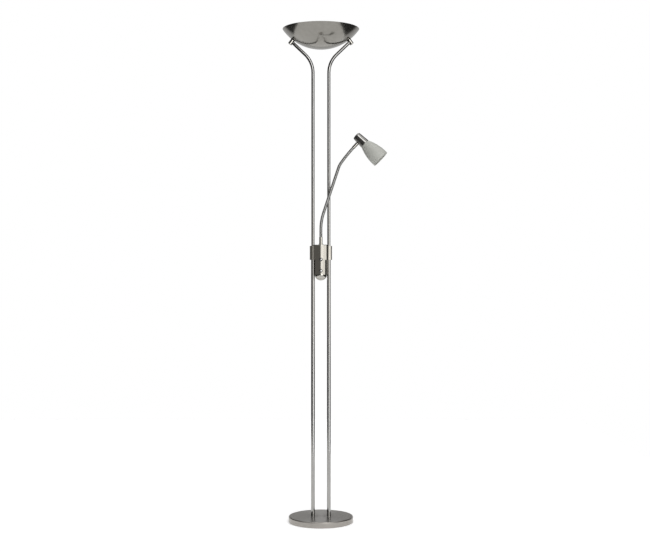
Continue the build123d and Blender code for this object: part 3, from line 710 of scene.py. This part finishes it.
# ---------------------------------------------------------------- sub-assemblies
@dataclass
class WeightedBase:
    """Round base: spun cover over an iron weight, foam pad, studs and the cord gland."""

    cover: Finish = BASE_NICKEL
    weight: Finish = CAST_IRON
    pad: Finish = FELT
    fixings: tuple[str, ...] = ("foot_washers", "foot_nuts", "foot_studs")

    def build(self) -> None:
        """Dress the base."""
        dress(self.cover, "base_cover")
        dress(self.weight, "base_weight")
        dress(self.pad, "base_pad")
        dress(ZINC, *self.fixings)
        dress(BLACK_RUBBER, "cable_gland")


@dataclass
class PolePair:
    """Two jointed poles that rise from the base and lean out to the bowl."""

    finish: Finish = POLE_NICKEL
    tubes: tuple[str, ...] = ("lower_pole_left", "lower_pole_right", "upper_pole_left",
                              "upper_pole_right")

    def build(self) -> None:
        """Dress the poles and the couplers that join them."""
        dress(self.finish, *self.tubes, "pole_couplers")


@dataclass
class BowlUplight:
    """Spun bowl on two clamps, with a tubular lamp under a guard glass.

    The bolts' heads seat at a distance from the middle of the bowl's curve. Each station of a
    tube's drawn-in end is a radius and a distance from the end, and each of its shoulder a share
    of the tube's radius and a distance from the end.
    """

    curve_centre: Vector = field(default_factory=lambda: Vector((0.0, 0.0, 1.90083)))
    clamp_angle: float = 36.2
    bolt: Screw = Screw(head_radius=0.004, head=0.0026, shank_radius=0.002, shank=0.0271,
                        recess=Recess.HEXAGON)
    bolt_seat: float = 0.19013
    tube_wall: float = 0.0009
    tube_end: tuple[tuple[float, float], ...] = ((0.0028, 0.0), (0.0034, 0.001), (0.0036, 0.004))
    tube_shoulder: tuple[tuple[float, float], ...] = ((0.86, 0.0075), (1.0, 0.0105))
    filament: Filament = Filament(turns=62)
    lead_radius: float = 0.0003
    lead_inset: float = 0.004
    lead_sides: int = 8

    def build(self) -> None:
        """Dress the bowl and what it holds."""
        dress(BOWL_NICKEL, "bowl")
        dress(BOX_NICKEL, "clamp_left", "clamp_right")
        dress(BLACK_RUBBER, "clamp_washers")
        dress(ZINC, "bowl_cap_nuts", "lamp_bracket", "glass_clips")
        dress(CERAMIC, "lampholder_left", "lampholder_right", "halogen_caps")
        dress(CLEAR_GLASS, "guard_glass")
        dress(BRASS, "contact_fixed", "contact_sprung")
        self.bolts()
        self.lamp()

    def bolts(self) -> None:
        """Socket-head bolts through the clamps, towards the middle of the bowl's curve."""
        places = []
        for side in (-1.0, 1.0):
            angle = math.radians(self.clamp_angle)
            outward = Vector((side * math.sin(angle), 0.0, -math.cos(angle)))
            places.append(standing_on(self.curve_centre + outward * self.bolt_seat, outward))
        bolts = settle(self.bolt.make("clamp_bolt_pair"), *places)
        complete(bolts, ZINC, "stand", ["clamp_bolts"])

    def lamp(self) -> None:
        """Quartz tube with drawn-in ends, a coiled filament and its leads."""
        low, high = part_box("halogen_tube")
        middle, half, radius = (low + high) / 2, (high.x - low.x) / 2, (high.z - low.z) / 2
        along = standing_on(middle, Vector((1.0, 0.0, 0.0)))
        end = [(r, half - inset) for r, inset in self.tube_end]
        end += [(radius * share, half - inset) for share, inset in self.tube_shoulder]
        tube = turned("quartz_tube", [(r, -h) for r, h in end] + [(r, h) for r, h in reversed(end)])
        turn_faces_out(tube)
        press(tube, "SOLIDIFY", thickness=self.tube_wall, offset=-1.0)
        complete(settle(tube, along), CLEAR_GLASS, "stand", ["halogen_tube"])
        coil = self.filament.make("lamp_filament")
        complete(settle(coil, along), FILAMENT, "stand")
        stretch = (self.filament.length / 2, half - self.lead_inset)
        leads = [turned(f"lead_{side}", [(self.lead_radius, side * distance) for distance in stretch],
                        self.lead_sides)
                 for side in (-1.0, 1.0)]
        pick(leads[0])
        leads[1].select_set(True)
        bpy.ops.object.join()
        leads[0].name = "lamp_leads"
        complete(settle(leads[0], along), FILAMENT, "stand")


@dataclass
class Knob:
    """Fluted dimmer knob with a bright cap and a pointer line, sized in metres.

    The grip's foot, the end of its flutes, the stations of its crown and its ledge are shares of
    its radius or its length. The cap's stations are shares of its radius, and of its height down
    from the knob's end. The pointer runs from a share of the cap's radius to one of the grip's.
    """

    name: str
    flutes: int = 24
    flute_depth: float = 0.0004
    flute_land: float = 0.00012
    flute_end: float = 0.62
    foot: float = 0.93
    foot_height: float = 0.0005
    crown: tuple[tuple[float, float], ...] = ((0.95, 0.8), (0.8, 0.93))
    ledge: float = 0.66
    cap_radius: float = 0.0036
    cap_height: float = 0.0005
    cap_stations: tuple[tuple[float, float], ...] = ((1.0, 2.0), (1.0, 0.4), (0.9, 0.0), (0.3, 0.0))
    cap_sides: int = 40
    pointer_start: float = 1.05
    pointer_end: float = 0.9
    pointer_width: float = 0.0007
    pointer_thickness: float = 0.0008
    pointer_sink: float = 0.0011
    pointer_slope: float = -26.0
    pointer_edge: float = 0.00012

    def build(self) -> None:
        """Model the knob and its cap where the plain knob stands."""
        low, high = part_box(f"knob_{self.name}")
        radius, length = (high.x - low.x) / 2, high.y - low.y
        back = Vector(((low.x + high.x) / 2, high.y, (low.z + high.z) / 2))
        place = standing_on(back, Vector((0.0, -1.0, 0.0)))
        body = turned(f"knob_grip_{self.name}",
                      [(radius * self.foot, 0.0), (radius, self.foot_height),
                       (radius, length * self.flute_end),
                       *((radius * across, length * up) for across, up in self.crown),
                       (radius * self.ledge, length - self.cap_height),
                       (self.cap_radius, length - self.cap_height)], 2 * self.flutes)
        self.flute(body, length)
        # the grip's black paints the shade around the cap
        complete(settle(body, place), KNOB_SHADE_BLACK, f"{self.name}_knob", [f"knob_{self.name}"],
                 crease=25.0)
        cap = turned(f"knob_cap_{self.name}",
                     [(self.cap_radius * across, length - self.cap_height * down)
                      for across, down in self.cap_stations], self.cap_sides)
        complete(settle(cap, place), KNOB_CHROME, f"{self.name}_knob")
        self.pointer(radius, length, place)

    def flute(self, body: bpy.types.Object, length: float, near: float = 0.0002,
              upright: float = 0.2) -> None:
        """Sink every second side face of the grip.

        Args:
            body: The grip, upright at the origin.
            length: Length of the knob.
            near: How far a side face's middle may lie from the middle of the flutes.
            upright: Largest rise of a side face's normal.
        """
        turn_faces_out(body)
        middle = (self.foot_height + length * self.flute_end) / 2
        sides = sorted((face for face in body.data.polygons
                        if abs(face.center.z - middle) < near and abs(face.normal.z) < upright),
                       key=lambda face: math.atan2(face.center.y, face.center.x))
        for part in (*body.data.vertices, *body.data.edges, *body.data.polygons):
            part.select = False
        for face in sides[::2]:
            face.select = True
        bpy.ops.object.mode_set(mode="EDIT")
        bpy.ops.mesh.select_mode(type="FACE")
        bpy.ops.mesh.inset(thickness=self.flute_land, depth=-self.flute_depth, use_individual=True)
        bpy.ops.object.mode_set(mode="OBJECT")

    def pointer(self, radius: float, length: float, place: Matrix) -> None:
        """Fine line from the cap to the grip's upper edge.

        Args:
            radius: Radius of the grip.
            length: Length of the knob.
            place: Where the knob stands.
        """
        clear_bench()
        bpy.ops.mesh.primitive_cube_add(size=1.0)
        line = bpy.context.object
        line.name = line.data.name = f"knob_pointer_{self.name}"
        start, end = self.cap_radius * self.pointer_start, radius * self.pointer_end
        line.scale = (self.pointer_width, end - start, self.pointer_thickness)
        line.location = (0.0, (start + end) / 2, length - self.pointer_sink)
        line.rotation_euler = (math.radians(self.pointer_slope), 0.0, 0.0)
        bpy.ops.object.transform_apply(location=True, rotation=True, scale=True)
        press(line, "BEVEL", width=self.pointer_edge, segments=2)
        complete(settle(line, place), WHITE_PLASTIC, f"{self.name}_knob")


@dataclass
class ControlBox:
    """Moulded box across the poles, with a cap, two dimmers and their knobs.

    The screws' heads seat at a distance behind the poles, each at its distance from the middle
    and its height.
    """

    screw: Screw = Screw(head_radius=0.0029, head=0.0018, shank_radius=0.0015, shank=0.0152,
                         recess=Recess.CROSS)
    screw_seat: float = 0.0096
    screw_places: tuple[tuple[float, float], ...] = ((0.012, 0.984), (0.0175, 0.936))

    def build(self) -> None:
        """Dress the box and model its screws and knobs."""
        dress(BOX_NICKEL, "box_front_cover", "box_back_cover", "box_cap")
        dress(ZINC, "dimmer_shaft_lower", "dimmer_shaft_upper")
        dress(LAMINATE, "control_board")
        dress(WHITE_PLASTIC, "terminal_block")
        dress(BLACK_PLASTIC, "dimmer_lower", "dimmer_upper")
        self.screws()
        for name in ("lower", "upper"):
            Knob(name).build()

    def screws(self) -> None:
        """Four cross-head screws sunk in the back cover."""
        rearward = Vector((0.0, 1.0, 0.0))
        places = [standing_on(Vector((side * x, self.screw_seat, z)), rearward)
                  for side in (-1.0, 1.0) for x, z in self.screw_places]
        screws = settle(self.screw.make("box_screw_set"), *places)
        complete(screws, ZINC, "stand", ["box_screws"])


@dataclass
class ReadingArm:
    """Flexible arm that turns in a bushing on the box's cap.

    Bends are radii in metres and leans are degrees from upright. Start, end and bend_points are
    distances along the arm, give is how far to each side of such a point a bend would reach,
    though the skin is not made to bend, and each station of a rib is a share of its height and
    of the groove's depth.
    """

    foot: Vector = field(default_factory=lambda: Vector((0.0, -0.018, 1.012)))
    upright: float = 0.055
    lower_bend: float = 0.196
    lower_lean: float = 18.4
    straight: float = 0.1697
    upper_bend: float = 0.080
    upper_lean: float = 36.0
    end_bend: float = 0.633
    end_lean: float = 44.0
    skin_radius: float = 0.0055
    groove: float = 0.0006
    rib_pitch: float = 0.0036
    rib: tuple[tuple[float, float], ...] = ((0.0, 1.0), (0.14, 0.38), (0.32, 0.06), (0.5, 0.0),
                                            (0.68, 0.06), (0.86, 0.38), (1.0, 1.0))
    skin_sides: int = 36
    start: float = 0.0202
    end: float = 0.3888
    bend_points: tuple[float, ...] = (0.070, 0.132, 0.194, 0.256, 0.318)
    bodies: tuple[str, ...] = ("arm_base", "neck_b", "neck_c", "neck_d", "neck_e", "neck_tip")
    give: float = 0.024

    def build(self) -> None:
        """Dress the arm's ferrules and model the ribbed neck."""
        dress(BOX_NICKEL, "arm_bushing", "arm_ferrule", "tip_ferrule")
        dress(ZINC, "arm_nut")
        line = self.middle_line()
        limits = [self.start] + [(a + b) / 2 for a, b in zip(self.bend_points, self.bend_points[1:])]
        limits.append(self.end)
        for number, (low, high) in enumerate(zip(limits, limits[1:])):
            self.neck_length(number, low, high, line)
        bpy.data.objects.remove(line)

    def knots(self) -> list[tuple[float, Vector, float]]:
        """Ends of the arm's straight runs and bends.

        Returns:
            Distance along the arm, place and lean in radians of each.
        """
        stretches = [(self.upright, 0.0),
                     (math.radians(self.lower_lean) * self.lower_bend, self.lower_lean),
                     (self.straight, 0.0),
                     (math.radians(self.upper_lean - self.lower_lean) * self.upper_bend,
                      self.upper_lean - self.lower_lean),
                     (math.radians(self.end_lean - self.upper_lean) * self.end_bend,
                      self.end_lean - self.upper_lean)]
        place, lean, distance = self.foot.copy(), 0.0, 0.0
        found = [(distance, place.copy(), lean)]
        for length, turn in stretches:
            bend = math.radians(turn)
            chord = length if bend == 0.0 else 2.0 * math.sin(bend / 2.0) * length / bend
            place += chord * Vector((math.sin(lean + bend / 2.0), 0.0, math.cos(lean + bend / 2.0)))
            lean += bend
            distance += length
            found.append((distance, place.copy(), lean))
        return found

    def at(self, distance: float) -> Vector:
        """Place on the arm's middle line.

        Args:
            distance: Distance along the arm from the box's cap.

        Returns:
            The place.
        """
        found = self.knots()
        for (low, place, lean), (high, _, end_lean) in zip(found, found[1:]):
            if distance <= high:
                step, bend = distance - low, (end_lean - lean) * (distance - low) / (high - low)
                chord = step if bend == 0.0 else 2.0 * math.sin(bend / 2.0) * step / bend
                return place + chord * Vector((math.sin(lean + bend / 2.0), 0.0,
                                               math.cos(lean + bend / 2.0)))
        return found[-1][1]

    def middle_line(self) -> bpy.types.Object:
        """Curve up the middle of the arm, with one knot at each end of a run or bend.

        Returns:
            The curve's object.
        """
        shape = bpy.data.curves.new("arm_line", "CURVE")
        shape.dimensions = "3D"
        shape.resolution_u = 64
        spline = shape.splines.new("BEZIER")
        found = self.knots()
        spline.bezier_points.add(len(found) - 1)
        for number, (point, (_, place, lean)) in enumerate(zip(spline.bezier_points, found)):
            heading = Vector((math.sin(lean), 0.0, math.cos(lean)))
            point.handle_left_type = point.handle_right_type = "FREE"
            point.co = point.handle_left = point.handle_right = place
            if number > 0:
                point.handle_left = place - heading * self.handle(found[number - 1], found[number])
            if number < len(found) - 1:
                point.handle_right = place + heading * self.handle(found[number], found[number + 1])
        line = bpy.data.objects.new("arm_line", shape)
        bpy.context.scene.collection.objects.link(line)
        return line

    @staticmethod
    def handle(one: tuple[float, Vector, float], other: tuple[float, Vector, float]) -> float:
        """Length of the curve's handles that makes a true arc between two knots.

        Args:
            one: Distance, place and lean of the first knot.
            other: The same of the second.

        Returns:
            The length, in metres.
        """
        length, bend = other[0] - one[0], other[2] - one[2]
        if abs(bend) < 1e-9:
            return length / 3.0
        return 4.0 / 3.0 * math.tan(bend / 4.0) * length / bend

    def neck_length(self, number: int, low: float, high: float, line: bpy.types.Object) -> None:
        """Model one length of ribbed neck, from the middle of one link to that of the next.

        Args:
            number: Number of the length, from 0.
            low: Where it starts along the arm.
            high: Where it ends.
            line: Middle line of the arm.
        """
        count = round((high - low) / self.rib_pitch)
        pitch = (high - low) / count
        rib = turned(f"neck_skin_{number + 1}",
                     [(self.skin_radius - self.groove * depth, low + pitch * share)
                      for share, depth in self.rib], self.skin_sides, filled=False)
        press(rib, "ARRAY", count=count, use_relative_offset=False, use_constant_offset=True,
              constant_offset_displace=(0.0, 0.0, pitch), use_merge_vertices=True,
              merge_threshold=RIB_MERGE_DISTANCE)
        pick(rib)
        bpy.ops.object.mode_set(mode="EDIT")
        bpy.ops.mesh.select_mode(type="EDGE")
        bpy.ops.mesh.select_all(action="DESELECT")
        bpy.ops.mesh.select_non_manifold()
        bpy.ops.mesh.edge_face_add()
        bpy.ops.object.mode_set(mode="OBJECT")
        press(rib, "CURVE", object=line, deform_axis="POS_Z")
        last = number == len(self.bend_points) - 1
        nodes = ["neck_5", "neck_6"] if last else [f"neck_{number + 1}"]
        joint = self.bend_points[number]
        bend = (self.bodies[number], self.at(joint + self.give), self.at(joint - self.give))
        complete(rib, NECK_NICKEL, self.bodies[number + 1], nodes, crease=60.0, bend=bend)


@dataclass
class ReadingHead:
    """Metal cap with a frosted glass tulip and a small bulb.

    Each station of the bulb's foot is a share of its radius and a height, and each of its nib a
    radius and a distance from the tip. The dome's stations are angles in degrees.
    """

    turn: float = 4.0
    stem_place: float = 0.024
    bulb_start: float = 0.0522
    bulb_length: float = 0.040
    bulb_radius: float = 0.0068
    bulb_wall: float = 0.0008
    bulb_sides: int = 40
    bulb_foot: tuple[tuple[float, float], ...] = ((0.8, 0.0), (0.92, 0.0008), (1.0, 0.003))
    dome_angles: tuple[float, ...] = (0.0, 20.0, 40.0, 58.0, 72.0)
    dome_height: float = 0.75
    dome_inset: float = 0.0045
    nib: tuple[tuple[float, float], ...] = ((0.0013, 0.0037), (0.0010, 0.0012), (0.0004, 0.0))
    filament: Filament = Filament(turns=10, coil_radius=0.0011)
    post_radius: float = 0.0004
    post_foot: float = 0.001
    post_sides: int = 10

    def build(self) -> None:
        """Dress the head and model its bulb."""
        # the cap's nickel is darkened with painted shade
        dress(SHADED_HEAD_NICKEL, "head_cap")
        dress(ZINC, "head_nut", "socket_plate")
        dress(CERAMIC, "reading_socket")
        dress(WHITE_PLASTIC, "shade_ring")
        dress(FROSTED_GLASS, "glass_shade")
        self.bulb()

    def on_axis(self, distance: float) -> Matrix:
        """Place upright on the head's axis, at a distance from its closed end.

        Args:
            distance: Distance in metres.

        Returns:
            The matrix that takes a piece there.
        """
        swivel = next(joint for joint in frame["joints"] if joint["name"] == "head_swivel")
        pivot, stem = Vector(swivel["pos_m"]), Vector(swivel["axis"]).normalized()
        level = Vector((stem.z, 0.0, -stem.x))
        turn = math.radians(-self.turn)
        ahead = level * math.cos(turn) + stem.cross(level) * math.sin(turn)
        return standing_on(pivot + ahead * (distance - self.stem_place), ahead)

    def bulb(self) -> None:
        """Capsule of clear glass with a sealed nib, and its filament."""
        radius, length = self.bulb_radius, self.bulb_length
        rise = radius * self.dome_height
        foot = [(radius * share, height) for share, height in self.bulb_foot]
        dome = [(radius * math.cos(math.radians(angle)),
                 length - self.dome_inset - rise + rise * math.sin(math.radians(angle)))
                for angle in self.dome_angles]
        nib = [(tip_radius, length - inset) for tip_radius, inset in self.nib]
        capsule = turned("bulb_capsule", foot + dome + nib, self.bulb_sides)
        turn_faces_out(capsule)
        press(capsule, "SOLIDIFY", thickness=self.bulb_wall, offset=-1.0)
        place = self.on_axis(self.bulb_start)
        complete(settle(capsule, place), CLEAR_GLASS, "reading_head", ["reading_bulb"])
        coil = self.filament.make("bulb_filament")
        middle = length / 2
        lift = Matrix.Translation((0.0, 0.0, middle))
        across = Matrix.Rotation(math.radians(90.0), 4, "Y")
        complete(settle(coil, place @ lift @ across), FILAMENT, "reading_head")
        posts = turned("bulb_posts", [(self.post_radius, self.post_foot),
                                      (self.post_radius, middle + self.filament.coil_radius)],
                       self.post_sides)
        half = self.filament.length / 2
        sides = [place @ Matrix.Translation((0.0, y, 0.0)) for y in (half, -half)]
        complete(settle(posts, *sides), ZINC, "reading_head")


# ---------------------------------------------------------------- studio
@dataclass(frozen=True)
class Panel:
    """Soft-edged bright area of the studio.

    Turn is measured from the camera's side towards +X, and low and high from the horizon, all in
    degrees. A panel that reaches all round or up to the zenith has no edge there.
    """

    turn: float
    half_width: float
    low: float
    high: float
    level: float
    tone: Colour = (1.0, 1.0, 1.0)
    edge: float = 4.0

    @property
    def all_round(self) -> bool:
        """Whether the panel has no edge to its sides."""
        return self.half_width >= 180.0

    @property
    def to_zenith(self) -> bool:
        """Whether the panel has no upper edge."""
        return self.high >= 90.0


class Sky:
    """Node tree of the studio's light while it is being put together."""

    def __init__(self, name: str) -> None:
        """Start an empty world and give it to the scene.

        Args:
            name: Name of the world.
        """
        world = bpy.data.worlds.new(name)
        bpy.context.scene.world = world
        world.use_nodes = True
        self.tree = world.node_tree
        self.tree.nodes.clear()
        self.direction = self.add("ShaderNodeTexCoord").outputs["Generated"]
        parts = self.add("ShaderNodeSeparateXYZ", self.direction).outputs
        self.rise = self.reckon("ARCSINE", parts["Z"])

    def add(self, kind: str, *sources: object, **settings: object) -> bpy.types.Node:
        """Add a node, set its properties, and link or set its inputs in order.

        Args:
            kind: Type name of the node.
            sources: Socket or value for each input.
            settings: Properties of the node and their values.

        Returns:
            The new node.
        """
        made = self.tree.nodes.new(kind)
        for name, value in settings.items():
            setattr(made, name, value)
        for socket, source in zip(made.inputs, sources):
            if isinstance(source, bpy.types.NodeSocket):
                self.tree.links.new(source, socket)
            else:
                socket.default_value = source
        return made

    def reckon(self, operation: str, *sources: object) -> bpy.types.NodeSocket:
        """Number worked out from others by one operation."""
        return self.add("ShaderNodeMath", *sources, operation=operation).outputs[0]

    def along(self, heading: tuple[float, float, float]) -> bpy.types.NodeSocket:
        """Share of the light's direction that lies along a heading."""
        return self.add("ShaderNodeVectorMath", self.direction, heading,
                        operation="DOT_PRODUCT").outputs["Value"]

    def ramp(self, angle: bpy.types.NodeSocket, limit: float, edge: float, before: float,
             after: float) -> bpy.types.NodeSocket:
        """Change softly from one level to another where an angle passes a limit.

        Args:
            angle: Socket with the angle in radians.
            limit: Angle in degrees at which half the change is done.
            edge: How far the change reaches to each side, in degrees.
            before: Level below the limit.
            after: Level above it.

        Returns:
            The level.
        """
        middle, soft = math.radians(limit), math.radians(edge)
        return self.add("ShaderNodeMapRange", angle, middle - soft, middle + soft, before, after,
                        interpolation_type="SMOOTHSTEP").outputs[0]

    def glow(self, panel: Panel) -> bpy.types.NodeSocket:
        """Light of one panel, as a colour.

        Args:
            panel: The panel.

        Returns:
            The socket with its colour, black outside the panel.
        """
        across = math.radians(panel.turn)
        facing = self.along((math.sin(across), -math.cos(across), 0.0))
        beside = self.along((math.cos(across), math.sin(across), 0.0))
        aside = self.reckon("ABSOLUTE", self.reckon("ARCTAN2", beside, facing))
        if panel.all_round:
            level = self.reckon("ADD", panel.level, 0.0)
        else:
            level = self.ramp(aside, panel.half_width, panel.edge, panel.level, 0.0)
        above = self.ramp(self.rise, panel.low, panel.edge, 0.0, 1.0)
        level = self.reckon("MULTIPLY", level, above)
        if not panel.to_zenith:
            below = self.ramp(self.rise, panel.high, panel.edge, 1.0, 0.0)
            level = self.reckon("MULTIPLY", level, below)
        tinted = self.add("ShaderNodeVectorMath", panel.tone, operation="SCALE")
        self.tree.links.new(level, tinted.inputs["Scale"])
        return tinted.outputs["Vector"]

    def show(self, glows: Sequence[bpy.types.NodeSocket], ambience: float, backdrop: float) -> None:
        """Light the scene with the sum of all glows, seen against a plain backdrop.

        Args:
            glows: Colours of the panels.
            ambience: Level of the light that comes from everywhere.
            backdrop: Level of the backdrop that the camera sees.
        """
        total = glows[0]
        for more in (*glows[1:], (ambience,) * 3):
            total = self.add("ShaderNodeVectorMath", total, more, operation="ADD").outputs["Vector"]
        lit = self.add("ShaderNodeBackground", total)
        plain = self.add("ShaderNodeBackground", (backdrop,) * 3 + (1.0,))
        seen = self.add("ShaderNodeLightPath").outputs["Is Camera Ray"]
        mixed = self.add("ShaderNodeMixShader", seen, lit.outputs[0], plain.outputs[0])
        self.add("ShaderNodeOutputWorld", mixed.outputs[0])


@dataclass
class Studio:
    """Plain pale floor, soft panels of light and the camera.

    The floor's corners are its left, front, right and back edge.
    """

    camera_place: tuple[float, float, float] = (0.015, -4.24, 0.900)
    lens: float = 64.25
    sensor: float = 36.0
    floor_corners: tuple[float, float, float, float] = (-2.0, -1.6, 1.6, 3.0)
    floor_glow: float = 0.42
    ambience: float = 0.05
    backdrop: float = 1.0
    panels: tuple[Panel, ...] = (
        # main light right of the camera, with a gap at the horizon
        Panel(20.0, 16.0, -16.0, -3.0, 3.6, edge=1.5),
        Panel(20.0, 16.0, 4.5, 50.0, 3.6, edge=1.5),
        # bands at the horizon, bright on the right and dim on the left
        Panel(42.0, 45.0, -3.0, 4.5, 1.6, (1.0, 0.985, 0.955), 1.5),
        Panel(-66.0, 60.0, -3.0, 4.5, 0.13, (1.0, 0.95, 0.88), 1.5),
        # narrow low light left of the camera
        Panel(-17.0, 4.0, -26.0, -13.0, 3.5, edge=2.0),
        # behind the lamp, and overhead
        Panel(180.0, 40.0, -36.0, 19.0, 0.6, edge=5.0),
        Panel(0.0, 180.0, 56.0, 90.0, 1.5, edge=6.0),
    )

    def build(self) -> None:
        """Make the floor, the light and the camera."""
        self.floor()
        self.light()
        self.camera()
        bpy.context.scene.view_settings.view_transform = "Standard"

    def floor(self) -> None:
        """Flat sheet under the lamp."""
        left, front, right, back = self.floor_corners
        clear_bench()
        middle = ((left + right) / 2, (front + back) / 2, 0.0)
        bpy.ops.mesh.primitive_plane_add(size=1.0, location=middle)
        bpy.ops.transform.resize(value=(right - left, back - front, 1.0))
        sheet = bpy.context.object
        sheet.name = "studio_floor"
        paint = material_of(FLOOR_PAINT)
        surface = paint.node_tree.nodes["Principled BSDF"]
        surface.inputs["Emission Color"].default_value = (1.0, 1.0, 1.0, 1.0)
        surface.inputs["Emission Strength"].default_value = self.floor_glow
        sheet.data.materials.append(paint)
        log.info("laid %s", sheet.name)

    def light(self) -> None:
        """Light from panels all round, seen against a plain pale backdrop."""
        sky = Sky("soft_studio")
        sky.show([sky.glow(panel) for panel in self.panels], self.ambience, self.backdrop)
        log.info("lit the studio with %d panels", len(self.panels))

    def camera(self) -> None:
        """Level camera in front of the lamp, where the photograph was taken from."""
        lens = bpy.data.cameras.new("photo_camera")
        lens.lens = self.lens
        lens.sensor_width = self.sensor
        camera = bpy.data.objects.new("photo_camera", lens)
        camera.location = self.camera_place
        camera.rotation_euler = (math.radians(90.0), 0.0, 0.0)
        bpy.context.scene.collection.objects.link(camera)
        bpy.context.scene.camera = camera
        log.info("placed the camera")


def main() -> None:
    """Build the lamp and the studio round it."""
    logging.basicConfig(level=logging.INFO, format="%(name)s: %(message)s")
    for assembly in (Studio(), WeightedBase(), PolePair(), BowlUplight(), ControlBox(),
                     ReadingArm(), ReadingHead()):
        log.info("building %s", type(assembly).__name__)
        assembly.build()


if __name__ == "__main__":
    main()
